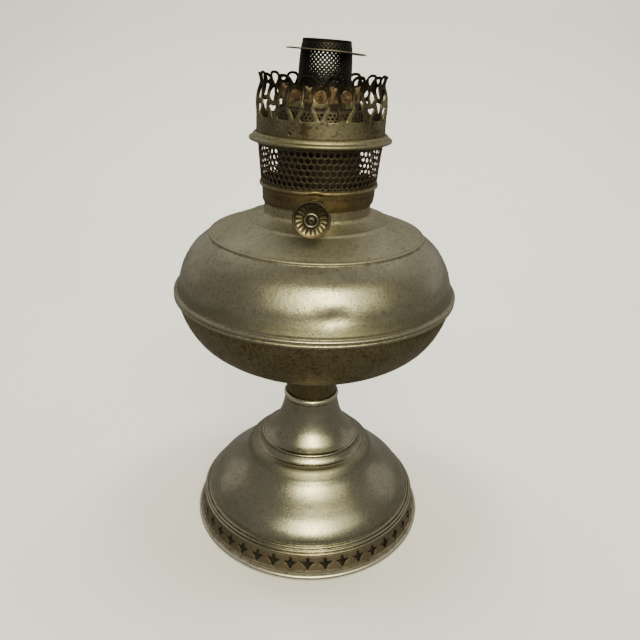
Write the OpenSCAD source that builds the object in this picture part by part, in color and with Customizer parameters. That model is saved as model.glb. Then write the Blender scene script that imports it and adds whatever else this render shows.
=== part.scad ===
// Center draft kerosene lamp, bare and unlit, without chimney or shade.
// Origin: centre of the foot on the table. +Z up, raiser knob towards -Y.
// Millimetres. Every piece is a closed solid of its own.

/* [Base] */
// Outer radius of the rolled foot
foot_r = 75.2; // [74.8:0.2:75.6]
// Number of four-pointed holes in the vent strip
vent_count = 43; // [30:1:46]
// Sheet thickness of the spun pieces
sheet = 0.8; // [0.6:0.1:1.0]

/* [Font] */
// Outer radius of the seam bead of the font
seam_r = 82.9; // [82.5:0.1:83.3]
// Radius of the ridge round the deck
deck_r = 60.9; // [60.5:0.1:61.3]

/* [Burner] */
// Outer radius of the draft tube
draft_r = 15.4; // [15.2:0.05:15.45]
// Height of the top of the outer wick tube
tube_top = 272; // [270:0.5:272.5]
// Height of the raiser shaft
shaft_z = 214.6; // [214.4:0.1:214.8]
// Distance of the knob's face from the lamp's axis
knob_y = 59.5; // [54:0.5:62]
// Outer radius of the raiser knob
knob_r = 9.4; // [8.4:0.1:9.6]
// Number of flutes in the knob
knob_flutes = 18; // [12:1:20]

/* [Gallery] */
// Number of loops round the crown
crown_count = 16; // [14:1:16]
// Outer radius of the lower bead of the gallery ring
ring_r = 39; // [38.25:0.25:40]
// Rows of holes in the basket wall
basket_rows = 4; // [2:1:4]
// Holes in each row of the basket wall
basket_holes = 30; // [20:2:30]

/* [Flame spreader] */
// Outer radius of the disc
disc_r = 20.8; // [19:0.1:20.8]
// Lean of the spreader to the right, in degrees
lean = 2; // [0:0.5:2.5]

/* [Hidden] */
$fn = 96;

// gear data: rack and pinion
gear_teeth = 12;
pitch_r = 5;
gear_mod = 2 * pitch_r / gear_teeth;
press_a = 25;
backlash = 0.16;
filler_y = 51.7;

// ---- profile helpers: points are [radius, height] ----
function arc(cx, cz, r, a0, a1, n) =
    [for (i = [0:n]) let (a = a0 + (a1 - a0) * i / n) [cx + r * cos(a), cz + r * sin(a)]];
// Catmull-Rom point between p1 and p2
function cr1(p0, p1, p2, p3, t) =
    0.5 * ((2 * p1) + (p2 - p0) * t + (2 * p0 - 5 * p1 + 4 * p2 - p3) * t * t
        + (3 * p1 - p0 - 3 * p2 + p3) * t * t * t);
// smooth curve through the points, k steps a span
function smooth(p, k) =
    let (n = len(p))
    [for (i = [0:n - 2], j = [0:k - 1])
        cr1(p[max(i - 1, 0)], p[i], p[i + 1], p[min(i + 2, n - 1)], j / k), p[n - 1]];
// the same line moved sideways by t
function unit(v) = v / norm(v);
function side(p, t) =
    let (n = len(p))
    [for (i = [0:n - 1])
        let (d = unit(p[min(i + 1, n - 1)] - p[max(i - 1, 0)]))
        [p[i][0] + t * d[1], p[i][1] - t * d[0]]];
function back(p) = [for (i = [len(p) - 1:-1:0]) p[i]];
// spun sheet: outer line p, thickness t to its left
module spun(p, t) rotate_extrude() polygon(concat(p, back(side(p, -t))));
module ring(r1, r2, z1, z2) rotate_extrude() translate([r1, z1]) square([r2 - r1, z2 - z1]);

// ---- base and font ----
base_line = concat(
    [[70.9, 14.9]],
    arc(70.4, 15.7, 0.5, 0, 80, 3),
    arc(69.25, 16.95, 0.75, 15, 125, 4),
    arc(67.4, 18.3, 0.75, 15, 125, 4),
    smooth([[66.3, 19.3], [65.7, 22], [63.1, 26], [59.2, 30], [54.3, 34], [48.9, 38.3],
        [44.9, 42.2], [42.4, 45.6], [40.9, 48.1], [39.5, 50.1], [38.0, 51.4], [36.5, 52.2]], 2),
    smooth([[35.5, 52.6], [34.4, 53.0], [33.4, 53.8], [32.3, 55.3], [31.1, 57.2]], 2),
    arc(30.4, 57.5, 0.55, 20, 110, 3),
    smooth([[29.4, 58.6], [26.2, 61.4], [22.6, 66.2], [19.8, 72], [17.9, 78.4], [16.95, 83.6]], 2),
    [[16.72, 84.75], [16.72, 87.6]]);

module base_shell() color([0.60, 0.58, 0.50]) spun(base_line, sheet);

// right half of a four-pointed hole, top to bottom, its middle at the origin
star = [[0, 3.55], [0.55, 3.15], [0.62, 2.3], [0.9, 1.5], [1.45, 1.1], [2.2, 1.0], [2.9, 1.2], [3.55, 1.3], [3.7, 0.9],
    [3.4, 0.45], [2.6, -0.2], [1.75, -0.95], [1.1, -1.9], [0.55, -3.05], [0, -3.75]];
function mirrored(p) = concat(p, back([for (q = p) if (q[0] > 0) [-q[0], q[1]]]));
module vent_strip() color([0.43, 0.36, 0.29]) difference() {
    rotate_extrude() polygon([[69.9, 14.8], [70.5, 14.8], [73.35, 5.35], [72.75, 5.35]]);
    for (i = [0:vent_count - 1]) rotate([0, 0, i * 360 / vent_count - 13.3])
        translate([0, -66, 9.9]) rotate([90, 0, 0]) linear_extrude(12) polygon(mirrored(star));
}

foot_line = concat([[72.6, 5.3]], [[73.4, 5.3]], [[73.75, 4.7], [73.9, 3.6]],
    arc(foot_r - 1.35, 1.55, 1.35, 75, -60, 8), [[foot_r - 1.6, 0], [72.2, 0], [72.0, 1.2], [72.6, 2.6]]);
module foot_ring() color([0.55, 0.52, 0.44]) rotate_extrude() polygon(foot_line);

module neck_band() color([0.62, 0.59, 0.50]) rotate_extrude()
    polygon(concat([[16.78, 88.7]], [[16.78, 84.9]], arc(16.75, 85.4, 0.55, -70, 0, 3), arc(16.75, 88.2, 0.55, 0, 80, 3)));

bowl_line = concat(
    [[15.85, 78], [15.85, 88.9]], smooth([[15.95, 89.3], [16.3, 93], [16.6, 97], [16.9, 101.2]], 2),
    smooth([[17.3, 102.9], [20.6, 104.8], [25.6, 107.1], [36, 112.1], [48, 118.1], [60.3, 125], [69.2, 132],
        [74.7, 139], [78.1, 146], [80.0, 152], [80.9, 157.0]], 2),
    arc(seam_r - 1.1, 158.45, 1.1, -70, 80, 7));
module font_bowl() color([0.42, 0.39, 0.30]) rotate_extrude()
    polygon(concat(bowl_line, [[80.9, 159.5], [80.1, 159.5], [80.1, 157.2]],
        [for (p = back(side(smooth([[25.6, 107.1], [36, 112.1], [48, 118.1], [60.3, 125], [69.2, 132],
            [74.7, 139], [78.1, 146], [80.0, 152], [80.9, 157.0]], 2), -sheet))) p],
        [[20.6, 105.75], [16.4, 103.9], [15.45, 102.4], [15.45, 78]]));

top_line = concat(
    [[80.1, 159.55]], arc(seam_r - 1.05, 160.6, 1.05, -90, 80, 8),
    smooth([[81.2, 162.6], [80.1, 165.2], [78.9, 169.3], [77.3, 174.4], [74.7, 179.5], [71.1, 184.6], [66.5, 188.9], [62.4, 192.2]], 2),
    arc(deck_r, 193.0, 0.85, 15, 120, 4),
    smooth([[59.8, 193.8], [56.2, 195.5], [51.8, 197.3], [47, 199.1], [43.2, 200.5]], 2),
    arc(41.3, 200.9, 0.7, 35, 120, 3),
    smooth([[39.6, 201.7], [36, 203.0], [32.6, 204.4], [31.0, 205.4]], 2));
module font_top() color([0.59, 0.57, 0.47]) difference() {
    rotate_extrude() polygon(concat(top_line, [[29.4, 205.4], [29.4, 204.6], [32.2, 203.6], [35.7, 202.2], [39.4, 200.8]],
        back(side(smooth([[59.8, 193.8], [56.2, 195.5], [51.8, 197.3], [47, 199.1], [43.2, 200.5]], 2), -sheet)),
        back(side(smooth([[81.2, 162.6], [80.1, 165.2], [78.9, 169.3], [77.3, 174.4], [74.7, 179.5], [71.1, 184.6], [66.5, 188.9], [62.4, 192.2]], 2), -sheet)),
        [[80.3, 160.4]]));
    translate([0, filler_y, 185]) cylinder(r = 7.02, h = 20);
}

module font_collar() color([0.66, 0.63, 0.52]) rotate_extrude()
    polygon(concat([[29.1, 204.0], [29.4, 204.0], [29.4, 205.4]], arc(30.0, 205.7, 0.3, -90, 0, 2), [[30.15, 206.4]], arc(29.9, 210.4, 0.3, 0, 90, 2),
        [[29.1, 210.7]]));

module draft_tube() color([0.50, 0.42, 0.28]) ring(draft_r - 0.6, draft_r, 76, 270);

module filler_neck() color([0.60, 0.52, 0.33]) translate([0, filler_y, 0]) ring(6.2, 7, 191, 202.5);
module filler_washer() color([0.35, 0.25, 0.16]) translate([0, filler_y, 0]) ring(5.0, 7.1, 202.55, 203.4);
module filler_cap() color([0.60, 0.57, 0.47]) translate([0, filler_y, 0]) difference() {
    rotate_extrude() polygon(concat([[0, 203.45], [7.15, 203.45], [7.15, 201.0], [8.3, 201.0]], arc(7.7, 203.9, 0.6, 0, 90, 4), [[0, 204.5]]));
    for (i = [0:23]) rotate([0, 0, i * 15]) translate([8.6, 0, 200]) cylinder(r = 0.5, h = 3.9, $fn = 32);
}

// ---- burner ----
module burner_washer() color([0.35, 0.26, 0.17]) ring(29.1, 30.1, 210.75, 211.35);

shell_line = concat([[30.6, 211.4]], smooth([[30.95, 211.6], [31.4, 213.2], [31.6, 216], [31.75, 219.2]], 2));
module burner_shell() color([0.42, 0.31, 0.18]) difference() {
    rotate_extrude() polygon(concat([[28.1, 204.6], [29.05, 204.6], [29.05, 211.4]], shell_line,
        [[31.75, 220.0], [31.4, 220.0], [31.4, 221.9], [28.1, 221.9], [28.1, 221.1], [30.6, 221.1], [30.6, 219.8], [30.9, 219.0], [30.7, 213.4], [30.2, 212.4], [28.1, 212.4]]));
    translate([0, -20, shaft_z]) rotate([90, 0, 0]) cylinder(r = 3.02, h = 16);
}

module burner_floor() color([0.45, 0.36, 0.22]) difference() {
    ring(19.52, 28.08, 221.1, 221.9);
    translate([-8.6, -25.4, 215]) cube([4.6, 4.5, 10]);
}

module outer_wick_tube() color([0.38, 0.30, 0.20]) difference() {
    ring(18.9, 19.5, 200, tube_top);
    translate([-8.6, -24, 199]) cube([3.4, 12, 19.4]);
}

// long sleeve round the wick tube, open below where the rack guide stands
module deflector() color([0.52, 0.34, 0.16]) difference() {
    rotate_extrude() polygon([[22.1, 221.92], [22.7, 221.92], [22.65, 243], [22.3, 249], [21.1, 255], [20.75, 259], [20.65, 268.5], [20.45, 271],
        [20.3, 272.6], [19.8, 272.6], [19.9, 271], [20.1, 268.5], [20.2, 259], [20.5, 255], [21.7, 249], [22.05, 243]]);
    translate([-9.55, -27, 220]) cube([6.5, 12, 25.6]);
}

module rack_guide() color([0.45, 0.36, 0.22]) difference() {
    translate([-9.2, -26.0, 221.9]) cube([5.8, 5.1, 23.3]);
    translate([-8.6, -25.4, 219]) cube([4.6, 5.0, 25.6]);
}

module shaft_sleeve() color([0.42, 0.36, 0.26]) difference() {
    union() {
        translate([0, -25.6, shaft_z]) rotate([90, 0, 0]) cylinder(r = 3, h = 8);
        difference() {
            translate([0, -30.4, shaft_z]) rotate([90, 0, 0]) cylinder(r = 4.6, h = 5.6);
            translate([0, 0, 205]) cylinder(r = 31.78, h = 20);
        }
    }
    translate([0, -25, shaft_z]) rotate([90, 0, 0]) cylinder(r = 1.55, h = 12);
    translate([0, -33.4, shaft_z]) rotate([90, 0, 0]) cylinder(r = 2.9, h = 3);
}

module shaft_packing() color([0.30, 0.28, 0.25]) translate([0, -33.45, shaft_z]) rotate([90, 0, 0])
    difference() { cylinder(r = 2.85, h = 2.4); translate([0, 0, -1]) cylinder(r = 1.55, h = 5); }

module packing_nut() color([0.48, 0.40, 0.27]) translate([0, -36.05, shaft_z]) rotate([90, 0, 0])
    difference() {
        union() {
            rotate([0, 0, 30]) cylinder(r = 5.0, h = 3.6, $fn = 6);
            translate([0, 0, 0.5]) cylinder(r = 3.4, h = 4.3);
        }
        translate([0, 0, -1]) cylinder(r = 1.55, h = 8);
    }

// ---- wick carriage ----
module wick() color([0.80, 0.76, 0.66]) ring(15.7, 18.1, 126, 271);
module wick_carrier() color([0.50, 0.44, 0.30]) ring(18.1, 18.6, 196, 222);
// arm through the slot of the outer tube
module carrier_arm() color([0.50, 0.44, 0.30]) difference() {
    translate([-8.2, -25.2, 205.4]) cube([2.6, 12, 2.4]);
    translate([0, 0, 200]) cylinder(r = 18.6, h = 12);
    translate([-8.3, -25.3, 205]) cube([2.8, 3.9, 4]);
}

rack_pitch = 3.14159265 * gear_mod;
// straight-sided teeth, pitch line at x = -pitch_r, teeth towards +X
function rack_side(z0, n) = [for (i = [0:n - 1]) let (zc = z0 + i * rack_pitch,
        h1 = rack_pitch / 4 - backlash / 2, k = tan(press_a), ad = 0.75 * gear_mod, de = 1.0 * gear_mod)
    for (p = [[-pitch_r - de, zc - h1 - de * k], [-pitch_r + ad, zc - h1 + ad * k],
        [-pitch_r + ad, zc + h1 - ad * k], [-pitch_r - de, zc + h1 + de * k]]) p];
rack_n = 13;
rack_mid = 5;
rack_lo = shaft_z - rack_mid * rack_pitch;
rack_hi = shaft_z + (rack_n - 1 - rack_mid) * rack_pitch;
module rack() color([0.50, 0.44, 0.30]) translate([0, -21.4, 0]) rotate([90, 0, 0]) linear_extrude(3.6)
    polygon(concat([[-8.2, rack_lo - 2]], [[-pitch_r - gear_mod, rack_lo - 2]], rack_side(rack_lo, rack_n),
        [[-pitch_r - gear_mod, rack_hi + 2]], [[-8.2, rack_hi + 2]]));

// ---- wick raiser ----
base_r = pitch_r * cos(press_a);
tip_r = pitch_r + 0.75 * gear_mod;
root_r = pitch_r - 1.0 * gear_mod;
function inv(a) = tan(a) * 180 / 3.14159265 - a;
half_a = 90 / gear_teeth - backlash / 2 / pitch_r * 180 / 3.14159265 + inv(press_a);
function flank(r) = let (a = acos(min(1, base_r / r))) half_a - inv(a);
function tooth(c) = concat(
    [[root_r * cos(c - flank(base_r) - 1), root_r * sin(c - flank(base_r) - 1)]],
    [for (i = [0:4]) let (r = base_r + (tip_r - base_r) * i / 4) [r * cos(c - flank(r)), r * sin(c - flank(r))]],
    [for (i = [4:-1:0]) let (r = base_r + (tip_r - base_r) * i / 4) [r * cos(c + flank(r)), r * sin(c + flank(r))]],
    [[root_r * cos(c + flank(base_r) + 1), root_r * sin(c + flank(base_r) + 1)]]);
module pinion() color([0.55, 0.46, 0.28]) translate([0, -21.6, shaft_z]) rotate([90, 0, 0]) difference() {
    linear_extrude(3.2) polygon([for (i = [0:gear_teeth - 1]) for (p = tooth(i * 360 / gear_teeth + 180 / gear_teeth)) p]);
    translate([0, 0, -1]) cylinder(r = 1.5, h = 6);
}
module raiser_shaft() color([0.45, 0.42, 0.36])
    translate([0, -21.0, shaft_z]) rotate([90, 0, 0]) cylinder(r = 1.5, h = knob_y - 21.0);

// fluted face, front towards -Y
module knob_face() color([0.35, 0.32, 0.26]) translate([0, -knob_y, shaft_z]) rotate([90, 0, 0]) difference() {
    rotate_extrude() polygon(concat([[1.5, -1.6], [knob_r - 0.4, -1.6]], arc(knob_r - 0.75, -0.35, 0.75, -60, 120, 6),
        [[knob_r - 1.5, 0.0], [3.9, 0.35], [3.7, 0.5], [1.5, 0.5]]));
    for (i = [0:knob_flutes - 1]) rotate([0, 0, i * 360 / knob_flutes]) translate([knob_r - 1.25, 0, 0.8])
        rotate([0, -90, 0]) cylinder(r1 = 1.1, r2 = 0.55, h = knob_r - 5.4, $fn = 24);
}
module knob_back() color([0.42, 0.38, 0.28]) translate([0, -knob_y + 1.6, shaft_z]) rotate([-90, 0, 0])
    rotate_extrude() polygon([[1.5, 0], [knob_r - 1.2, 0], [knob_r - 1.6, 0.8], [3.4, 1.8], [2.8, 5.2], [1.5, 5.2]]);
module knob_rivet() color([0.40, 0.37, 0.31]) translate([0, -knob_y, shaft_z]) rotate([90, 0, 0])
    rotate_extrude() polygon(concat([[0, 0], [1.5, 0], [1.5, 0.5], [3.6, 0.5], [3.5, 0.95], [2.6, 1.1]],
        arc(0, 0.3, 2.4, 22, 80, 4), [[0.35, 2.3], [0, 2.15]]));

// ---- gallery ----
module basket() color([0.30, 0.27, 0.22]) difference() {
    rotate_extrude() polygon(concat([[31.5, 220.1]], arc(32.1, 221.15, 1.05, -90, 60, 6), [[32.4, 222.4], [34.2, 243.6], [33.7, 243.6], [31.9, 222.4], [31.5, 221.4]]));
    for (j = [0:basket_rows - 1]) for (i = [0:basket_holes - 1])
        rotate([0, 0, (i + (j % 2) / 2) * 360 / basket_holes]) translate([0, -29, 225.6 + j * 5.1]) rotate([90, 0, 0]) cylinder(r = 2.1, h = 8, $fn = 24);
}
module gallery_ring() color([0.55, 0.51, 0.38]) rotate_extrude()
    polygon(concat([[33.0, 243.7], [35.6, 243.7]], arc(ring_r - 1.15, 245.2, 1.15, -80, 75, 7),
        arc(35.9, 247.3, 1.0, -20, 95, 6), [[34.95, 248.6], [34.95, 248.0], [35.3, 247.6], [35.3, 246.0], [33.0, 246.0]]));

// crown: band, bulge, neck and flare
crown_line = smooth([[34.88, 246.1], [34.88, 252], [34.9, 258], [34.95, 264], [34.45, 268.5], [33.5, 272], [33.3, 274], [34.4, 277.2]], 2);
vase = [[0, 256.7], [2.6, 256.8], [3.35, 257.15], [3.42, 257.75], [2.8, 259.4], [2.1, 260.7], [1.7, 262.4], [1.8, 263.8], [2.3, 265.0],
    [2.35, 265.9], [1.8, 267.6], [1.55, 269.4], [1.9, 271.2], [2.5, 272.7], [2.8, 274.3], [2.1, 275.35], [0, 276.0]];
heart = [[0, 256.95], [0.55, 257.8], [1.2, 259.1], [1.9, 260.4], [2.7, 261.6], [3.3, 262.5], [3.0, 262.95], [1.6, 263.05], [0, 262.85]];
// gap between two arches of the top edge
notch = [[0, 273.05], [0.8, 273.25], [1.65, 273.95], [2.4, 275.1], [3.4, 276.3], [4.9, 277.1], [4.9, 280], [0, 280]];
module crown() color([0.50, 0.46, 0.36]) difference() {
    rotate_extrude() polygon(concat(crown_line, back(side(crown_line, -0.6))));
    for (i = [0:crown_count - 1]) {
        rotate([0, 0, i * 360 / crown_count - 9.9]) translate([0, -28, 0]) rotate([90, 0, 0]) linear_extrude(12) polygon(mirrored(vase));
        rotate([0, 0, (i + 0.5) * 360 / crown_count - 9.9]) {
            translate([0, -28, 0]) rotate([90, 0, 0]) linear_extrude(12) polygon(mirrored(heart));
            translate([0, -28, 268.62]) rotate([90, 0, 0]) cylinder(r = 3.2, h = 12, $fn = 24);
            translate([0, -28, 0]) rotate([90, 0, 0]) linear_extrude(12) polygon(mirrored(notch));
        }
    }
}
module air_cone() color([0.40, 0.33, 0.24]) difference() {
    rotate_extrude() polygon([[34.15, 248.9], [34.15, 249.6], [31.0, 249.6], [24.4, 260.6], [23.7, 261.2], [23.3, 260.7], [23.8, 260.3], [30.6, 248.9]]);
    for (j = [0:1]) for (i = [0:19])
        rotate([0, 0, (i + j / 2) * 18]) translate([0, -30.0 + j * 2.6, 251.6 + j * 4.3]) rotate([59, 0, 0]) translate([0, 0, -3]) cylinder(r = 1.3, h = 6, $fn = 20);
}

// ---- flame spreader: leans with its seat on the draft tube ----
module leaning() translate([1.2, 0, 270.6]) rotate([0, lean, 0]) translate([0, 0, -270]) children();
module spreader_base() color([0.40, 0.36, 0.30]) leaning() rotate_extrude()
    polygon([[12.3, 262], [12.9, 262], [12.9, 270], [14.2, 270], [14.2, 270.6], [13.1, 270.6], [13.1, 272.4], [12.5, 272.4], [12.5, 270.6], [12.3, 270.4]]);
module thimble() color([0.16, 0.16, 0.15]) leaning() difference() {
    rotate_extrude() polygon([[13.6, 270.65], [14.15, 270.65], [13.95, 277], [13.82, 282], [13.5, 287], [13.2, 290], [12.7, 292.1],
        [12.1, 292.1], [12.65, 289.9], [12.95, 287], [13.27, 282], [13.4, 277]]);
    for (j = [0:4]) for (i = [0:13])
        rotate([0, 0, (i + (j % 2) / 2) * 360 / 14]) translate([0, -10, 274.6 + j * 2.9 + (j > 3 ? 2.2 : 0)]) rotate([90, 0, 0]) cylinder(r = 1.1, h = 6, $fn = 20);
}
module thimble_cap() color([0.18, 0.17, 0.16]) leaning() rotate_extrude()
    polygon([[12.0, 291.7], [12.0, 292.15], [12.72, 292.15], [12.66, 293.1], [12.3, 293.45], [0, 293.45], [0, 292.85], [11.5, 292.85], [11.5, 291.7]]);
module spreader_disc() color([0.42, 0.39, 0.34]) leaning() translate([0, 0, 288.0]) rotate([0, 1.7, 0])
    ring(13.62, disc_r, -0.35, 0.35);

base_shell();
vent_strip();
foot_ring();
neck_band();
font_bowl();
font_top();
font_collar();
draft_tube();
filler_neck();
burner_washer();
burner_shell();
burner_floor();
outer_wick_tube();
deflector();
rack_guide();
shaft_sleeve();
packing_nut();
shaft_packing();
wick();
wick_carrier();
carrier_arm();
rack();
raiser_shaft();
pinion();
knob_face();
knob_back();
knob_rivet();
basket();
gallery_ring();
crown();
air_cone();
thimble();
thimble_cap();
spreader_disc();
spreader_base();
filler_washer();
filler_cap();
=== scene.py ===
"""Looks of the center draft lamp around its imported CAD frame.
Shape helpers work in millimetres; meshes are written in metres. Azimuth a is measured from -Y towards +X."""
import math

import bpy
import bmesh
import numpy as np
from mathutils import Matrix, Vector
from mathutils.geometry import delaunay_2d_cdt


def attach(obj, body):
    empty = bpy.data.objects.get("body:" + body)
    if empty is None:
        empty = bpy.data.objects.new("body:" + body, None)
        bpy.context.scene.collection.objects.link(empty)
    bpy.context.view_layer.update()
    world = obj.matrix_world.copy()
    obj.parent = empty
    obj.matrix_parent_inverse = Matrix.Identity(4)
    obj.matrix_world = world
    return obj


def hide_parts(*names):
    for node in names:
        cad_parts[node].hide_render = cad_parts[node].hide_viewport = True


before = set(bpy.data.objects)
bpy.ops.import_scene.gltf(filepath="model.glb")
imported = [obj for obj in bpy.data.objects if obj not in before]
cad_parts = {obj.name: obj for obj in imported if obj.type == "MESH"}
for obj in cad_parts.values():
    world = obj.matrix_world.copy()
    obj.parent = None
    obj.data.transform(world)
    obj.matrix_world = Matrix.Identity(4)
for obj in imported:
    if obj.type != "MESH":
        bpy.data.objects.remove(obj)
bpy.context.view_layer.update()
TAU = 2 * math.pi


# ------------------------------------------------------------------ curves
def arc(cx, cz, r, a0, a1, n=10):
    t = np.radians(np.linspace(a0, a1, n + 1))
    return np.stack([cx + r * np.cos(t), cz + r * np.sin(t)], 1)


def smooth(p, k=6):
    """Catmull-Rom line through the points, k steps a span."""
    p = np.asarray(p, float)
    q = np.vstack([2 * p[0] - p[1], p, 2 * p[-1] - p[-2]])
    out = []
    for i in range(1, len(q) - 2):
        for j in range(k):
            t = j / k
            out.append(0.5 * (2 * q[i] + (q[i + 1] - q[i - 1]) * t
                              + (2 * q[i - 1] - 5 * q[i] + 4 * q[i + 1] - q[i + 2]) * t * t
                              + (3 * q[i] - q[i - 1] - 3 * q[i + 1] + q[i + 2]) * t ** 3))
    out.append(q[-2])
    return np.array(out)


def line(a, b, n=4):
    t = np.linspace(0, 1, n + 1)[:, None]
    return np.asarray(a, float) * (1 - t) + np.asarray(b, float) * t


def chain(*parts):
    """One line out of several, without doubled points."""
    p = np.vstack([np.atleast_2d(np.asarray(q, float)) for q in parts])
    keep = [0]
    for i in range(1, len(p)):
        if np.hypot(*(p[i] - p[keep[-1]])) > 0.02:
            keep.append(i)
    return p[keep]


def even(loop, step, closed=True):
    """Points at even steps along a line."""
    p = np.asarray(loop, float)
    if closed:
        p = np.vstack([p, p[:1]])
    d = np.r_[0, np.cumsum(np.hypot(*np.diff(p, axis=0).T))]
    n = max(4, int(round(d[-1] / step)))
    s = np.linspace(0, d[-1], n + 1)
    if closed:
        s = s[:-1]
    return np.stack([np.interp(s, d, p[:, 0]), np.interp(s, d, p[:, 1])], 1)


# ------------------------------------------------------------------ meshes
def make(name, verts, faces, body, mat, gone=(), sharp=45, attrs=None, weld=2e-6):
    """A mesh piece from points in millimetres, riding on a body and standing for the CAD nodes in gone."""
    me = bpy.data.meshes.new(name)
    me.from_pydata((np.asarray(verts, float) * 0.001).tolist(), [], [list(map(int, f)) for f in faces])
    for key, values in (attrs or {}).items():
        at = me.attributes.new(key, "FLOAT", "POINT")
        at.data.foreach_set("value", np.asarray(values, np.float32))
    bm = bmesh.new()
    bm.from_mesh(me)
    bmesh.ops.remove_doubles(bm, verts=bm.verts, dist=weld)
    bmesh.ops.dissolve_degenerate(bm, edges=bm.edges, dist=1e-7)
    bmesh.ops.recalc_face_normals(bm, faces=bm.faces)
    bm.to_mesh(me)
    bm.free()
    me.shade_smooth()
    me.set_sharp_from_angle(angle=math.radians(sharp))
    ob = bpy.data.objects.new(name, me)
    bpy.context.scene.collection.objects.link(ob)
    me.materials.append(mat)
    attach(ob, body)
    if gone:
        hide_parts(*gone)
    return ob


def marks(R, Z, spots):
    """How strongly each point lies near spots [(r, z, spread, amount)] of the profile."""
    out = np.zeros_like(R)
    for r, z, s, k in spots:
        out = np.maximum(out, k * np.exp(-((R - r) ** 2 + (Z - z) ** 2) / (2 * s * s)))
    return out


def spin(profile, seg):
    """Points and faces of a closed profile [(radius, height)] spun round the axis."""
    p = np.asarray(profile, float)
    n = len(p)
    a = np.arange(seg) / seg * TAU
    R = np.tile(p[:, 0], (seg, 1))
    Z = np.tile(p[:, 1], (seg, 1))
    A = np.tile(a[:, None], (1, n))
    i, j = np.meshgrid(np.arange(seg), np.arange(n), indexing="ij")
    i2, j2 = (i + 1) % seg, (j + 1) % n
    f = np.stack([i * n + j, i2 * n + j, i2 * n + j2, i * n + j2], -1).reshape(-1, 4)
    axis = (p[:, 0] < 1e-6) & (np.roll(p[:, 0], -1) < 1e-6)
    f = f[~np.tile(axis, seg)]
    return A.ravel(), R.ravel(), Z.ravel(), f


def lathe(name, profile, body, mat, gone=(), seg=288, warp=None, dirt_and_painted_shade=(), wear=(), sharp=42, place=None):
    A, R, Z, f = spin(profile, seg)
    attrs = {"dirt_and_painted_shade": marks(R, Z, dirt_and_painted_shade), "wear": marks(R, Z, wear)}
    if warp is not None:
        R, Z = warp(A, R, Z)
    P = np.stack([R * np.sin(A), -R * np.cos(A), Z], 1)
    if place is not None:
        P = place(P)
    return make(name, P, f, body, mat, gone, sharp, attrs)


def inside(loop, pts):
    """Even-odd test of points against a closed loop."""
    x, y = pts[:, 0], pts[:, 1]
    r = np.zeros(len(pts), bool)
    q = np.asarray(loop)
    for (x0, y0), (x1, y1) in zip(q, np.roll(q, -1, 0)):
        c = (y0 > y) != (y1 > y)
        if c.any():
            r[c] ^= x[c] < (x1 - x0) * (y[c] - y0) / (y1 - y0) + x0
    return r


def outward(loop, by):
    """The closed loop grown by that much (mm), its points moved along their mitred normals."""
    q = np.asarray(loop, float)
    area = 0.5 * np.sum(q[:, 0] * np.roll(q[:, 1], -1) - np.roll(q[:, 0], -1) * q[:, 1])
    e = np.roll(q, -1, 0) - q
    e /= np.maximum(np.hypot(*e.T), 1e-9)[:, None]
    n = np.stack([e[:, 1], -e[:, 0]], 1) * (1 if area > 0 else -1)
    m = n + np.roll(n, 1, 0)
    m /= np.maximum(np.hypot(*m.T), 1e-6)[:, None]
    c = np.clip(np.sum(m * n, 1), 0.5, 1)
    return q + m * (by / c)[:, None]


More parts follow.
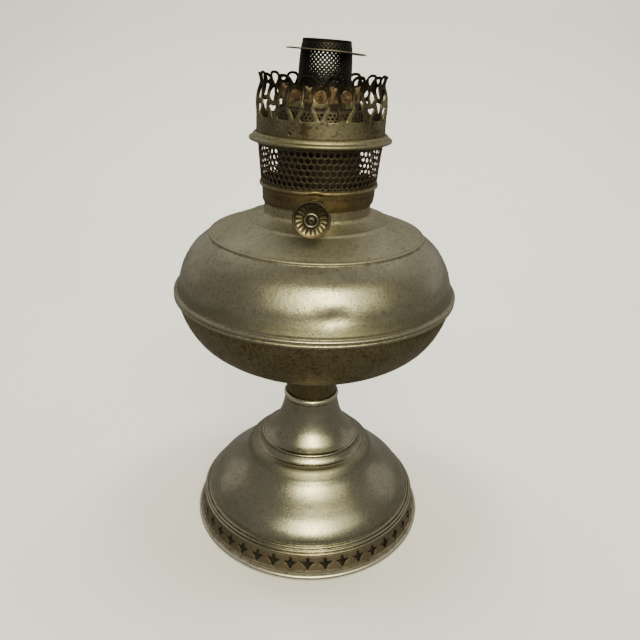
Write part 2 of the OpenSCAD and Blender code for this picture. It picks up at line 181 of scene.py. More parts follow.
def pierced(name, holes, top, bottom, radius, surf, thick, body, mat, gone=(), rnd=0.12, grid=1.2,
            warp=None, place=None, sharp=50, attrs=None):
    """A pierced sheet bent round the axis. holes, top and bottom are loops in (u, v): u is mm round the axis at
    the given radius, v is mm along the wall; top and bottom run right round. surf(a, v) gives points and normals.
    One triangulation in a conformal ring map keeps the sheet seamless."""
    L = TAU * radius
    v_mid = 0.5 * (bottom[:, 1].mean() + top[:, 1].mean())
    loops = [(outward(h, rnd), h) for h in holes]
    loops.append((top - [0, rnd], top))
    loops.append((bottom + [0, rnd], bottom))

    def ring(uv):
        rho = np.exp((uv[:, 1] - v_mid) / radius)
        a = uv[:, 0] / radius
        return np.stack([rho * np.cos(a), rho * np.sin(a)], 1)

    pts, label, edges, uv = [], [], [], []
    n = 0
    starts = []
    for k, (face, _) in enumerate(loops):
        starts.append(n)
        m = len(face)
        uv.append(face)
        label += [k] * m
        edges += [(n + i, n + (i + 1) % m) for i in range(m)]
        n += m
    border = n
    vmin, vmax = bottom[:, 1].min(), top[:, 1].max()
    rows = max(2, int(round((vmax - vmin) / (grid * 0.87))))
    cols = int(round(L / grid))
    g = []
    for r in range(1, rows):
        u = (np.arange(cols) + 0.5 * (r % 2)) * L / cols
        g.append(np.stack([u, np.full(cols, vmin + (vmax - vmin) * r / rows)], 1))
    g = np.vstack(g)
    allb = np.vstack(uv)
    # drop grid points inside holes, outside the borders or too near a loop
    keep = np.ones(len(g), bool)
    tu = np.interp(g[:, 0] % L, *sorted_loop(top, L))
    bu = np.interp(g[:, 0] % L, *sorted_loop(bottom, L))
    keep &= (g[:, 1] < tu - rnd - 0.3 * grid) & (g[:, 1] > bu + rnd + 0.3 * grid)
    for face, _ in loops[:-2]:
        c = face.mean(0)
        du = (g[:, 0] - c[0] + L / 2) % L - L / 2
        dv = g[:, 1] - c[1]
        ext = np.abs(face - c).max(0) + 0.5 * grid
        near = np.where((np.abs(du) < ext[0]) & (np.abs(dv) < ext[1]) & keep)[0]
        if len(near):
            q = np.stack([du[near] + c[0], g[near, 1]], 1)
            bad = inside(face, q)
            d = np.min(np.hypot(q[:, None, 0] - face[None, :, 0], q[:, None, 1] - face[None, :, 1]), 1)
            keep[near[bad | (d < 0.35 * grid)]] = False
    g = g[keep]
    uv.append(g)
    label += [-1] * len(g)
    UV = np.vstack(uv)
    label = np.array(label)
    C = ring(UV)
    out = delaunay_2d_cdt([Vector(c) for c in C], edges, [], 0, 1e-9, True)
    T = np.array([t for t in out[2]], int)
    first = np.array([o[0] if len(o) else -1 for o in out[3]])
    T = first[T]
    T = T[(T >= 0).all(1)]
    lab = label[T]
    same = (lab[:, 0] == lab[:, 1]) & (lab[:, 1] == lab[:, 2]) & (lab[:, 0] >= 0)
    cen = C[T].mean(1)
    drop = np.zeros(len(T), bool)
    for k in np.unique(lab[same, 0]) if same.any() else []:
        idx = np.where(same & (lab[:, 0] == k))[0]
        face = C[starts[k]:starts[k] + len(loops[k][0])]
        hit = inside(face, cen[idx])
        drop[idx] = ~hit if k == len(loops) - 2 else hit
    T = T[~drop]
    # points: front and back faces, then the walls' own rows
    A = UV[:, 0] / radius
    P, N = surf(A, UV[:, 1])
    front = P
    back = P - N * thick
    V = [front, back]
    M = len(front)
    F = [list(t) for t in T] + [list(t[::-1] + M) for t in T]
    n = 2 * M
    for k, (face, true) in enumerate(loops):
        m = len(face)
        idx = np.arange(starts[k], starts[k] + m)
        mid = (face + 2 * true) / 3
        rows = [idx]
        for shape, depth in ((mid, rnd * 0.35), (true, rnd), (true, thick - rnd), (mid, thick - rnd * 0.35)):
            p, nn = surf(shape[:, 0] / radius, shape[:, 1])
            V.append(p - nn * depth)
            rows.append(np.arange(n, n + m))
            n += m
        rows.append(idx + M)
        for r0, r1 in zip(rows[:-1], rows[1:]):
            j = np.arange(m)
            j2 = (j + 1) % m
            F += np.stack([r0[j], r0[j2], r1[j2], r1[j]], 1).tolist()
    V = np.vstack(V)
    if warp is not None:
        V = warp(V)
    if place is not None:
        V = place(V)
    data = {k: fn(V) for k, fn in (attrs or {}).items()}
    return make(name, V, F, body, mat, gone, sharp, data, weld=1e-6)


def sorted_loop(loop, L):
    u = loop[:, 0] % L
    o = np.argsort(u)
    u, v = u[o], loop[o, 1]
    return np.r_[u[-1] - L, u, u[0] + L], np.r_[v[-1], v, v[0]]


def straight(v, radius, step=1.2):
    n = int(TAU * radius / step)
    return np.stack([np.arange(n) * TAU * radius / n, np.full(n, float(v))], 1)


def wall(profile):
    """surf for pierced() from a profile [(radius, height)], v being its height above the first point along the line."""
    p = np.asarray(profile, float)
    d = np.r_[0, np.cumsum(np.hypot(*np.diff(p, axis=0).T))]

    def surf(a, v):
        r = np.interp(v, d, p[:, 0])
        z = np.interp(v, d, p[:, 1])
        r2, z2 = np.interp(v + 0.4, d, p[:, 0]), np.interp(v + 0.4, d, p[:, 1])
        r1, z1 = np.interp(v - 0.4, d, p[:, 0]), np.interp(v - 0.4, d, p[:, 1])
        t = np.stack([r2 - r1, z2 - z1], 1)
        t /= np.hypot(*t.T)[:, None]
        nr, nz = t[:, 1], -t[:, 0]
        P = np.stack([r * np.sin(a), -r * np.cos(a), z], 1)
        N = np.stack([nr * np.sin(a), -nr * np.cos(a), nz], 1)
        return P, N
    return surf, d[-1]


def along(profile, z):
    """Distance along a profile to the height z."""
    p = np.asarray(profile, float)
    d = np.r_[0, np.cumsum(np.hypot(*np.diff(p, axis=0).T))]
    o = np.argsort(p[:, 1])
    return float(np.interp(z, p[o, 1], d[o]))


def dents(spots, wobble=0.12, seed=1, k=(2, 3, 5, 7)):
    """warp for a spun shell: shallow dents [(azimuth, height, width, tall, depth)] and a slightly uneven wall."""
    rng = np.random.default_rng(seed)
    waves = [(n, rng.uniform(0, TAU), rng.uniform(0.02, 0.06), wobble / (1 + i)) for i, n in enumerate(k)]

    def warp(A, R, Z):
        d = np.zeros_like(R)
        for n, ph, q, amp in waves:
            d += amp * np.sin(n * A + ph + q * Z)
        for az, z, w, h, depth in spots:
            da = (A - math.radians(az) + math.pi) % TAU - math.pi
            d -= depth * np.exp(-((da * R / w) ** 2 + ((Z - z) / h) ** 2) / 2)
        return R + d * np.clip(R / 10, 0, 1), Z
    return warp


# ------------------------------------------------------------------ materials
class Mat:
    """A small writer of node materials."""

    def __init__(self, name):
        self.m = bpy.data.materials.new(name)
        self.m.use_nodes = True
        self.t = self.m.node_tree
        self.t.nodes.clear()
        self.out = self.t.nodes.new("ShaderNodeOutputMaterial")
        self.b = self.t.nodes.new("ShaderNodeBsdfPrincipled")
        self.t.links.new(self.b.outputs[0], self.out.inputs[0])
        self.pos = self.t.nodes.new("ShaderNodeTexCoord").outputs["Object"]

    def put(self, socket, value):
        if isinstance(value, bpy.types.NodeSocket):
            self.t.links.new(value, socket)
        elif value is not None:
            socket.default_value = value

    def math(self, op, a, b=None, c=None, clamp=False):
        n = self.t.nodes.new("ShaderNodeMath")
        n.operation = op
        n.use_clamp = clamp
        for i, v in enumerate((a, b, c)):
            if v is not None:
                self.put(n.inputs[i], v)
        return n.outputs[0]

    def noise(self, scale, detail=3, rough=0.55, distort=0.0, vec=None, shift=(0, 0, 0)):
        n = self.t.nodes.new("ShaderNodeTexNoise")
        v = vec or self.pos
        if any(shift):
            mp = self.t.nodes.new("ShaderNodeMapping")
            mp.inputs["Location"].default_value = shift
            self.put(mp.inputs["Vector"], v)
            v = mp.outputs[0]
        self.put(n.inputs["Vector"], v)
        n.inputs["Scale"].default_value = scale
        n.inputs["Detail"].default_value = detail
        n.inputs["Roughness"].default_value = rough
        n.inputs["Distortion"].default_value = distort
        return n.outputs["Fac"]

    def spots(self, scale, size, share, shift=(0, 0, 0)):
        """Round spots: size is their radius as a share of a cell, share is how many cells have one."""
        mp = self.t.nodes.new("ShaderNodeMapping")
        mp.inputs["Location"].default_value = shift
        self.put(mp.inputs["Vector"], self.pos)
        v = self.t.nodes.new("ShaderNodeTexVoronoi")
        self.put(v.inputs["Vector"], mp.outputs[0])
        v.inputs["Scale"].default_value = scale
        sep = self.t.nodes.new("ShaderNodeSeparateColor")
        self.put(sep.inputs[0], v.outputs["Color"])
        on = self.math("LESS_THAN", sep.outputs[0], share)
        near = self.step(v.outputs["Distance"], size, size * 0.45)
        return self.math("MULTIPLY", near, on)

    def step(self, x, a, b):
        """0 at a, 1 at b, smooth between; a may be above b."""
        n = self.t.nodes.new("ShaderNodeMapRange")
        n.interpolation_type = "SMOOTHSTEP"
        self.put(n.inputs["Value"], x)
        n.inputs["From Min"].default_value = min(a, b)
        n.inputs["From Max"].default_value = max(a, b)
        n.inputs["To Min"].default_value = 0.0 if a < b else 1.0
        n.inputs["To Max"].default_value = 1.0 if a < b else 0.0
        return n.outputs["Result"]

    def mix(self, f, a, b):
        n = self.t.nodes.new("ShaderNodeMix")
        n.data_type = "RGBA"
        self.put(n.inputs[0], f)
        self.put(n.inputs[6], (*a, 1) if isinstance(a, tuple) else a)
        self.put(n.inputs[7], (*b, 1) if isinstance(b, tuple) else b)
        return n.outputs[2]

    def scale(self, col, f):
        n = self.t.nodes.new("ShaderNodeMix")
        n.data_type = "RGBA"
        n.blend_type = "MULTIPLY"
        n.inputs[0].default_value = 1.0
        self.put(n.inputs[6], col)
        c = self.t.nodes.new("ShaderNodeCombineColor")
        for i in range(3):
            self.put(c.inputs[i], f)
        self.put(n.inputs[7], c.outputs[0])
        return n.outputs[2]

    def attr(self, name):
        n = self.t.nodes.new("ShaderNodeAttribute")
        n.attribute_name = name
        return n.outputs["Fac"]

    def xyz(self):
        s = self.t.nodes.new("ShaderNodeSeparateXYZ")
        self.put(s.inputs[0], self.pos)
        return s.outputs

    def turned(self, k_radial=1.0, k_height=1.0, k_round=0.05):
        """Coordinates stretched round the axis, for marks left by spinning."""
        x, y, z = self.xyz()
        r = self.math("SQRT", self.math("ADD", self.math("MULTIPLY", x, x), self.math("MULTIPLY", y, y)))
        c = self.t.nodes.new("ShaderNodeCombineXYZ")
        self.put(c.inputs[0], self.math("MULTIPLY", r, k_radial))
        self.put(c.inputs[1], self.math("MULTIPLY", z, k_height))
        self.put(c.inputs[2], self.math("MULTIPLY", self.math("ARCTAN2", x, y), k_round * 0.02))
        return c.outputs[0]

    def bump(self, height, strength, distance):
        n = self.t.nodes.new("ShaderNodeBump")
        n.inputs["Strength"].default_value = strength
        n.inputs["Distance"].default_value = distance
        self.put(n.inputs["Height"], height)
        self.put(self.b.inputs["Normal"], n.outputs[0])

    def finish(self, color, rough, metallic=1.0, **more):
        self.put(self.b.inputs["Base Color"], color)
        self.put(self.b.inputs["Roughness"], rough)
        self.put(self.b.inputs["Metallic"], metallic)
        for k, v in more.items():
            self.put(self.b.inputs[k.replace("_", " ")], v)
        return self.m


def plated(name, col, stain, dark, rough=(0.32, 0.5), stains=0.5, pits=0.35, grain=0.5, spun=0.3, bump=0.6,
           seed=0.0, brown=(0.075, 0.055, 0.030), extra=None, metallic=1.0, fleck=0.0):
    """Old plated sheet: uneven tarnish, clusters of dark pits, grit, faint spinning marks,
    grime in the creases, painted shade on faces that a piece marks, and rubbed edges."""
    m = Mat(name)
    s = (seed, seed * 0.7, -seed)
    big = m.noise(26, 5, 0.6, 0.5, shift=s)
    mid = m.noise(130, 6, 0.68, 0.3, shift=s)
    cloud = m.noise(60, 4, 0.6, 0.6, shift=(s[0] + 3, s[1], s[2]))
    fine = m.noise(1700, 2, 0.6)
    gritty = m.noise(640, 3, 0.7, shift=s)
    ringy = m.noise(900, 3, 0.6, vec=m.turned(1.0, 1.0, 0.6))
    c = m.mix(m.math("MULTIPLY", m.step(big, 0.42, 0.66), stains), col, stain)
    c = m.mix(m.math("MULTIPLY", m.step(mid, 0.52, 0.74), stains * 0.8), c, dark)
    # dark and light grit
    c = m.mix(m.math("MULTIPLY", m.step(gritty, 0.53, 0.66), 0.30 + 0.30 * stains), c, dark)
    c = m.mix(m.math("MULTIPLY", m.step(gritty, 0.42, 0.31), 0.40 * grain), c, tuple(min(1, 1.3 * x) for x in col))
    where = m.step(cloud, 0.46, 0.62)
    p1 = m.math("MULTIPLY", m.spots(620, 0.30, pits), where)
    p2 = m.spots(210, 0.13, pits * 0.4, shift=(0.31, 0.17, 0.05))
    pit = m.math("MAXIMUM", p1, p2)
    c = m.mix(m.math("MULTIPLY", pit, 0.85), c, brown)
    c = m.scale(c, m.math("ADD", 1 - 0.22 * grain, m.math("MULTIPLY", fine, 0.44 * grain)))
    if fleck:
        # spots where the plate has gone and warm metal shows
        gold = m.math("MULTIPLY", m.spots(760, 0.34, fleck, shift=(0.7, 0.2, 0.4)), m.step(cloud, 0.38, 0.6))
        c = m.mix(m.math("MULTIPLY", gold, 0.6), c, (col[0] * 1.15, col[1] * 1.0, col[2] * 0.62))
    # crease grime, and painted shade on faces that a piece marks, both darken the colour towards brown
    dirt_and_painted_shade = m.attr("dirt_and_painted_shade")
    wear = m.attr("wear")
    ragged = m.step(m.math("ADD", dirt_and_painted_shade, m.math("MULTIPLY", m.math("SUBTRACT", mid, 0.5), 1.2)), 0.38, 0.85)
    c = m.mix(m.math("MULTIPLY", ragged, 0.8), c, brown)
    rub = m.step(m.math("ADD", wear, m.math("MULTIPLY", m.math("SUBTRACT", gritty, 0.5), 1.0)), 0.45, 0.9)
    c = m.mix(m.math("MULTIPLY", rub, 0.7), c, tuple(min(1, 1.22 * x) for x in col))
    r = m.math("ADD", rough[0], m.math("MULTIPLY", m.step(big, 0.3, 0.7), (rough[1] - rough[0]) * 0.6))
    r = m.math("ADD", r, m.math("MULTIPLY", m.step(mid, 0.4, 0.7), (rough[1] - rough[0]) * 0.6))
    r = m.math("ADD", r, m.math("MULTIPLY", pit, 0.3))
    r = m.math("ADD", r, m.math("MULTIPLY", ragged, 0.2))
    r = m.math("SUBTRACT", r, m.math("MULTIPLY", rub, 0.08), clamp=True)
    h = m.math("ADD", m.math("MULTIPLY", fine, 0.3 * grain), m.math("MULTIPLY", gritty, 1.0 * grain))
    h = m.math("ADD", h, m.math("MULTIPLY", ringy, spun))
    h = m.math("ADD", h, m.math("MULTIPLY", mid, 0.9))
    h = m.math("SUBTRACT", h, m.math("MULTIPLY", pit, 0.25))
    m.bump(h, bump, 0.00012)
    if extra:
        c, r = extra(m, c, r, dict(big=big, mid=mid, gritty=gritty, fine=fine, cloud=cloud, ringy=ringy))
    return m.finish(c, r, metallic)


NICKEL = (0.42, 0.396, 0.312)
STAIN = (0.285, 0.262, 0.190)
DARK = (0.155, 0.135, 0.085)


def soot(z0, z1, col=(0.012, 0.011, 0.010), amount=0.95):
    def extra(m, c, r, n):
        z = m.xyz()[2]
        streak = m.noise(260, 3, 0.6, vec=m.turned(0.2, 0.25, 18.0))
        f = m.step(m.math("ADD", z, m.math("ADD", m.math("MULTIPLY", m.math("SUBTRACT", n["mid"], 0.5), 0.014),
                                           m.math("MULTIPLY", m.math("SUBTRACT", streak, 0.5), 0.020))), z0, z1)
        f = m.math("MULTIPLY", f, amount)
        # brown burnt patches below the soot
        burnt = m.math("MULTIPLY", m.step(z, 0.2535, 0.262), m.step(n["cloud"], 0.44, 0.60))
        c = m.mix(m.math("MULTIPLY", burnt, 0.6), c, (0.085, 0.058, 0.032))
        spots = m.math("MULTIPLY", m.step(n["mid"], 0.53, 0.60), m.step(z, 0.2475, 0.2545))
        c = m.mix(m.math("MULTIPLY", spots, 0.55), c, (0.035, 0.028, 0.022))
        return m.mix(f, c, col), m.math("ADD", r, m.math("MULTIPLY", f, 0.25), clamp=True)
    return extra


def band_wear(z0, z1, col):
    """A thin ragged bright line where the plate is rubbed."""
    def extra(m, c, r, n):
        z = m.xyz()[2]
        up = m.step(z, z0, z0 + 0.0004)
        dn = m.step(z, z1, z1 - 0.0005)
        f = m.math("MULTIPLY", m.math("MULTIPLY", up, dn), m.step(n["mid"], 0.40, 0.56))
        return m.mix(m.math("MULTIPLY", f, 0.9), c, col), r
    return extra


def font_dull_deck_and_painted_shade(m, c, r, n):
    """The deck is duller than the shoulder; above the seam a darker, duller band is painted, painted shade standing for
    the dark table that part mirrors.
    """
    z = m.xyz()[2]
    deck = m.step(z, 0.1915, 0.1935)
    r = m.math("ADD", r, m.math("MULTIPLY", deck, 0.20))
    # painted shade: a darker band above the seam
    edge = m.math("ADD", z, m.math("MULTIPLY", m.math("SUBTRACT", n["cloud"], 0.5), 0.010))
    low = m.math("MULTIPLY", m.step(edge, 0.1705, 0.1655), m.step(z, 0.1620, 0.1632))
    c = m.mix(m.math("MULTIPLY", low, 0.62), c, (0.175, 0.158, 0.105))
    r = m.math("ADD", r, m.math("MULTIPLY", low, 0.10), clamp=True)
    return c, r


def bowl_rim_and_painted_reflection(m, c, r, n):
    """The rolled rim of the bowl is as bright as the shoulder; the bowl below is brown, partly tarnish and partly a
    painted reflection of a dark brown table, and painted darker towards the bottom as painted shade.
    """
    z = m.xyz()[2]
    rim = m.step(m.math("ADD", z, m.math("MULTIPLY", m.math("SUBTRACT", n["mid"], 0.5), 0.0015)), 0.1569, 0.1577)
    c = m.mix(m.math("MULTIPLY", m.step(n["gritty"], 0.50, 0.60), 0.45), c, (0.085, 0.055, 0.022))
    # painted shade: darker towards the bottom of the bowl
    low = m.step(z, 0.122, 0.108)
    c = m.mix(m.math("MULTIPLY", low, 0.5), c, (0.16, 0.128, 0.066))
    c = m.mix(rim, c, m.mix(m.math("MULTIPLY", m.step(n["gritty"], 0.50, 0.62), 0.5), (0.40, 0.372, 0.265), (0.17, 0.145, 0.09)))
    return c, m.math("SUBTRACT", r, m.math("MULTIPLY", rim, 0.08), clamp=True)


def band_patches(m, c, r, n):
    """Amber worn patches on brown, most of them half way up and right of the knob."""
    x, y, z = m.xyz()
    mid_high = m.math("MULTIPLY", m.step(z, 0.2128, 0.2142), m.step(z, 0.2180, 0.2162))
    right = m.math("MULTIPLY", m.step(x, 0.003, 0.008), m.step(x, 0.024, 0.018))
    more = m.math("MULTIPLY", mid_high, m.math("ADD", 0.03, m.math("MULTIPLY", right, 0.09)))
    f = m.step(m.math("ADD", n["cloud"], more), 0.53, 0.63)
    c = m.mix(m.math("MULTIPLY", f, 0.75), c, (0.235, 0.165, 0.078))
    olive = m.step(z, 0.2178, 0.2192)
    c = m.mix(m.math("MULTIPLY", olive, 0.6), c, (0.20, 0.168, 0.095))
    return c, r


def knob_painted_shade_and_light(m, c, r, n):
    """Painted shade and light: the knob's upper half is painted black, partly soot and partly painted shade, and its
    lower half is painted a lighter gold, a painted highlight where the scoops catch the light.
    """
    z = m.math("ADD", m.xyz()[2], m.math("MULTIPLY", m.math("SUBTRACT", n["mid"], 0.5), 0.006))
    up = m.step(z, 0.2125, 0.2175)
    c = m.mix(m.math("MULTIPLY", up, 0.8), c, (0.050, 0.040, 0.026))
    low = m.step(z, 0.2135, 0.2085)
    c = m.mix(m.math("MULTIPLY", low, 0.45), c, (0.33, 0.265, 0.155))
    return c, m.math("ADD", r, m.math("MULTIPLY", up, 0.08), clamp=True)


def dome_painted_shade(m, c, r, n):
    """Painted shade: the shoulder below the crease is painted darker than the dome, and made rougher."""
    z = m.math("ADD", m.xyz()[2], m.math("MULTIPLY", m.math("SUBTRACT", n["mid"], 0.5), 0.0016))
    f = m.math("MULTIPLY", m.step(z, 0.0458, 0.0486), m.step(z, 0.0530, 0.0522))
    c = m.mix(m.math("MULTIPLY", f, 0.38), c, (0.105, 0.094, 0.062))
    return c, m.math("ADD", r, m.math("MULTIPLY", f, 0.16), clamp=True)


nickel = plated("worn_nickel_dome", NICKEL, STAIN, DARK, rough=(0.21, 0.31), extra=dome_painted_shade, stains=0.45, pits=0.22, grain=0.8, spun=0.25, bump=0.55,
                fleck=0.16)
nickel_font = plated("worn_nickel_font", (0.42, 0.394, 0.306), (0.30, 0.272, 0.196), DARK, rough=(0.265, 0.38), stains=0.55, pits=0.38,
                     grain=1.0, spun=0.25, bump=0.7, seed=2.3, extra=font_dull_deck_and_painted_shade, fleck=0.22)
# the bowl's brown is partly tarnish and partly a painted reflection of a dark brown table
nickel_bowl = plated("dark_nickel_bowl_painted_reflection", (0.245, 0.207, 0.122), (0.165, 0.13, 0.069), (0.072, 0.053, 0.026), rough=(0.40, 0.58), stains=0.8,
                     pits=0.5, grain=1.2, spun=0.3, bump=1.0, seed=5.1, extra=bowl_rim_and_painted_reflection, fleck=0.25)
nickel_foot = plated("worn_nickel_foot", (0.84, 0.79, 0.66), (0.56, 0.52, 0.40), (0.12, 0.115, 0.06), rough=(0.30, 0.48), stains=0.7,
                     pits=0.4, grain=0.9, seed=1.2)
strip_mat = plated("worn_strip", (0.275, 0.222, 0.155), (0.185, 0.146, 0.10), (0.075, 0.058, 0.038), rough=(0.42, 0.6), stains=0.6,
                   pits=0.3, grain=1.1, spun=0.1, bump=0.9, seed=4.4, extra=band_wear(0.0053, 0.0066, (0.50, 0.46, 0.33)))
nickel_small = plated("worn_nickel_ring", (0.32, 0.292, 0.20), (0.21, 0.183, 0.112), (0.12, 0.095, 0.05), rough=(0.42, 0.58), stains=0.75,
                      pits=0.4, grain=0.9, seed=7.7)
neck_mat = plated("worn_nickel_neck", (0.76, 0.71, 0.55), (0.54, 0.50, 0.36), (0.14, 0.115, 0.07), rough=(0.22, 0.34), stains=0.6,
                  pits=0.4, grain=0.8, seed=17.7)
collar_mat = plated("worn_nickel_collar", (0.40, 0.368, 0.255), (0.28, 0.245, 0.15), (0.13, 0.10, 0.05), rough=(0.32, 0.48), stains=0.75,
                    pits=0.4, grain=0.9, seed=18.7)
crown_mat = plated("sooty_nickel_crown", (0.255, 0.23, 0.16), (0.155, 0.13, 0.083), (0.055, 0.042, 0.027), rough=(0.46, 0.64), stains=1.0,
                   pits=0.5, grain=1.1, bump=0.9, seed=8.8, extra=soot(0.2640, 0.2725, amount=0.90))
basket_mat = plated("dark_basket", (0.130, 0.108, 0.076), (0.072, 0.056, 0.039), (0.03, 0.023, 0.017), rough=(0.40, 0.60), stains=0.9,
                    pits=0.3, grain=1.0, seed=3.3)
brass_mat = plated("brown_brass", (0.195, 0.148, 0.084), (0.135, 0.10, 0.054), (0.062, 0.044, 0.022), rough=(0.36, 0.55), stains=0.9,
                   pits=0.3, grain=0.9, seed=6.1, spun=0.5, extra=band_patches)
# the knob's finish carries painted shade on its upper half and painted light on its lower half
knob_mat = plated("sooty_knob_painted_shade_and_light", (0.26, 0.222, 0.146), (0.16, 0.13, 0.082), (0.05, 0.04, 0.028), rough=(0.36, 0.54), stains=0.8,
                  pits=0.3, grain=0.9, seed=9.4, extra=knob_painted_shade_and_light)
steel_mat = plated("dull_steel", (0.22, 0.195, 0.155), (0.15, 0.125, 0.09), (0.08, 0.06, 0.042), rough=(0.40, 0.58), stains=0.8,
                   pits=0.4, grain=0.9, seed=10.2)
lid_mat = plated("black_lid", (0.019, 0.0185, 0.018), (0.014, 0.013, 0.012), (0.009, 0.008, 0.007), rough=(0.5, 0.68), stains=0.7,
                 pits=0.2, grain=0.8, seed=12.9)
black_mat = plated("black_steel", (0.036, 0.035, 0.034), (0.025, 0.023, 0.021), (0.015, 0.013, 0.011), rough=(0.44, 0.62), stains=0.7,
                   pits=0.2, grain=0.8, seed=11.9)
inner_mat = plated("dull_brass", (0.27, 0.195, 0.09), (0.17, 0.112, 0.046), (0.08, 0.052, 0.023), rough=(0.38, 0.58), stains=0.8,
                   pits=0.3, grain=0.7, seed=12.5)
dark_mat = plated("sooty_cone", (0.130, 0.112, 0.080), (0.07, 0.055, 0.038), (0.028, 0.022, 0.016), rough=(0.45, 0.65), stains=1.0,
                  pits=0.4, grain=1.0, seed=13.3)
deep_mat = plated("burnt_tube", (0.050, 0.038, 0.026), (0.032, 0.023, 0.016), (0.016, 0.012, 0.009), rough=(0.5, 0.7), stains=0.9,
                  pits=0.3, grain=0.8, seed=14.4)
lining_mat = plated("dark_inside", (0.05, 0.042, 0.032), (0.03, 0.025, 0.019), (0.016, 0.013, 0.010), rough=(0.5, 0.7), stains=0.9,
                    pits=0.3, grain=0.8, seed=19.4)


def rust_material():
    m = Mat("rusty_sheet")
    x, y, z = m.xyz()
    a = m.noise(150, 6, 0.72, 0.8)
    b = m.noise(420, 5, 0.72, 0.3, shift=(1, 2, 3))
    g = m.noise(240, 4, 0.65, 0.5, shift=(4, 1, 7))
    f = m.noise(1700, 3, 0.7)
    c = m.mix(m.step(a, 0.42, 0.58), (0.19, 0.118, 0.055), (0.080, 0.046, 0.022))
    c = m.mix(m.math("MULTIPLY", m.step(g, 0.49, 0.57), 0.9), c, (0.034, 0.021, 0.013))
    c = m.mix(m.math("MULTIPLY", m.step(b, 0.56, 0.66), 0.8), c, (0.022, 0.014, 0.010))
    c = m.mix(m.math("MULTIPLY", m.step(b, 0.44, 0.37), 0.8), c, (0.30, 0.23, 0.14))
    c = m.scale(c, m.math("ADD", 0.72, m.math("MULTIPLY", f, 0.56)))
    # painted shade: the sleeve goes almost black below about 264 mm, a painted shadow between crown and cone
    deep = m.step(m.math("ADD", z, m.math("MULTIPLY", m.math("SUBTRACT", a, 0.5), 0.0024)), 0.2649, 0.2638)
    c = m.mix(m.math("MULTIPLY", deep, 0.93), c, (0.030, 0.020, 0.013))
    h = m.math("ADD", m.math("MULTIPLY", a, 1.2), m.math("ADD", b, m.math("MULTIPLY", f, 0.5)))
    m.bump(h, 0.95, 0.00035)
    return m.finish(c, m.math("ADD", 0.60, m.math("MULTIPLY", b, 0.3)), m.math("MULTIPLY", m.step(a, 0.62, 0.3), 0.4))


rust_mat = rust_material()


def cloth_material():
    m = Mat("wick_cotton")
    x, y, z = m.xyz()
    ang = m.math("ARCTAN2", x, y)
    ribs = m.math("SINE", m.math("MULTIPLY", ang, 150.0))
    rows = m.math("SINE", m.math("MULTIPLY", z, 5200.0))
    weave = m.math("MULTIPLY", ribs, rows)
    n = m.noise(300, 5, 0.6)
    f = m.noise(2600, 2, 0.6)
    c = m.mix(m.step(weave, -0.6, 0.7), (0.42, 0.36, 0.26), (0.66, 0.60, 0.48))
    c = m.mix(m.step(n, 0.45, 0.7), c, (0.34, 0.26, 0.16))
    char = m.step(m.math("ADD", z, m.math("MULTIPLY", m.math("SUBTRACT", n, 0.5), 0.006)), 0.262, 0.2685)
    c = m.mix(char, c, (0.018, 0.015, 0.013))
    m.bump(m.math("ADD", weave, m.math("MULTIPLY", f, 0.8)), 0.7, 0.00025)
    return m.finish(c, m.math("ADD", 0.85, m.math("MULTIPLY", f, 0.1)), 0.0, Sheen_Weight=0.25)


cloth_mat = cloth_material()


def leather_material():
    m = Mat("oiled_leather")
    n = m.noise(900, 5, 0.65)
    b = m.noise(160, 3, 0.6)
    c = m.mix(m.step(n, 0.4, 0.65), (0.10, 0.055, 0.028), (0.19, 0.115, 0.06))
    c = m.mix(m.math("MULTIPLY", m.step(b, 0.5, 0.7), 0.6), c, (0.05, 0.028, 0.015))
    m.bump(n, 0.6, 0.0002)
    return m.finish(c, m.math("ADD", 0.48, m.math("MULTIPLY", n, 0.25)), 0.0)


leather_mat = leather_material()

# ------------------------------------------------------------------ base
base_out = chain(
    [[70.75, 14.9]],
    arc(70.35, 15.65, 0.55, -25, 100, 10),
    arc(69.72, 16.42, 0.26, 230, 320, 4)[::-1],
    arc(69.15, 16.95, 0.72, 20, 130, 10),
    arc(68.35, 17.85, 0.25, 220, 320, 4)[::-1],
    arc(67.45, 18.15, 0.72, 25, 130, 10),
    arc(66.75, 19.0, 0.35, 250, 190, 4),
    smooth([[66.2, 19.6], [65.7, 22], [63.1, 26], [59.2, 30], [54.3, 34], [48.9, 38.3],
            [44.9, 42.2], [42.4, 45.6], [40.9, 48.1], [39.5, 50.1], [38.0, 51.4], [36.8, 52.0], [36.0, 52.4]], 8),
    smooth([[35.75, 52.58], [35.45, 52.78], [35.15, 52.8], [34.95, 52.68]], 3),
    smooth([[34.8, 52.66], [34.3, 52.9], [33.4, 53.65], [32.5, 54.75], [31.9, 55.7], [31.5, 56.4]], 8),
    arc(30.72, 57.15, 0.92, -35, 112, 14),
    smooth([[30.2, 58.05], [29.2, 58.75], [26.2, 61.4], [22.6, 66.2], [19.8, 72], [17.9, 78.4], [16.95, 83.6]], 8),
    line([16.8, 84.7], [16.75, 87.6], 3))
base_in = smooth([[70.1, 14.9], [69.2, 16.4], [67.6, 17.9], [65.6, 19.4], [64.9, 22], [62.5, 25.5], [58.7, 29.4], [53.8, 33.4], [48.3, 37.7],
                  [44.2, 41.7], [41.7, 45.1], [40.2, 47.6], [38.9, 49.4], [37.5, 50.6], [36.3, 51.1], [35.2, 51.8], [33.8, 52.3], [32.5, 53.6],
                  [31.3, 55.5], [30.2, 56.7], [28.8, 57.75],
                  [25.6, 60.8], [21.9, 65.8], [19.05, 71.8], [17.1, 78.3], [16.2, 83.6], [15.95, 87.6]], 2)
base_dirt = [(69.7, 16.3, 0.35, 0.8), (68.35, 17.8, 0.35, 0.8), (66.3, 19.0, 0.4, 0.7), (70.8, 15.0, 0.4, 0.6),
             (34.85, 52.66, 0.3, 0.3), (31.6, 56.2, 0.3, 0.75), (16.9, 84.6, 0.5, 0.8)]
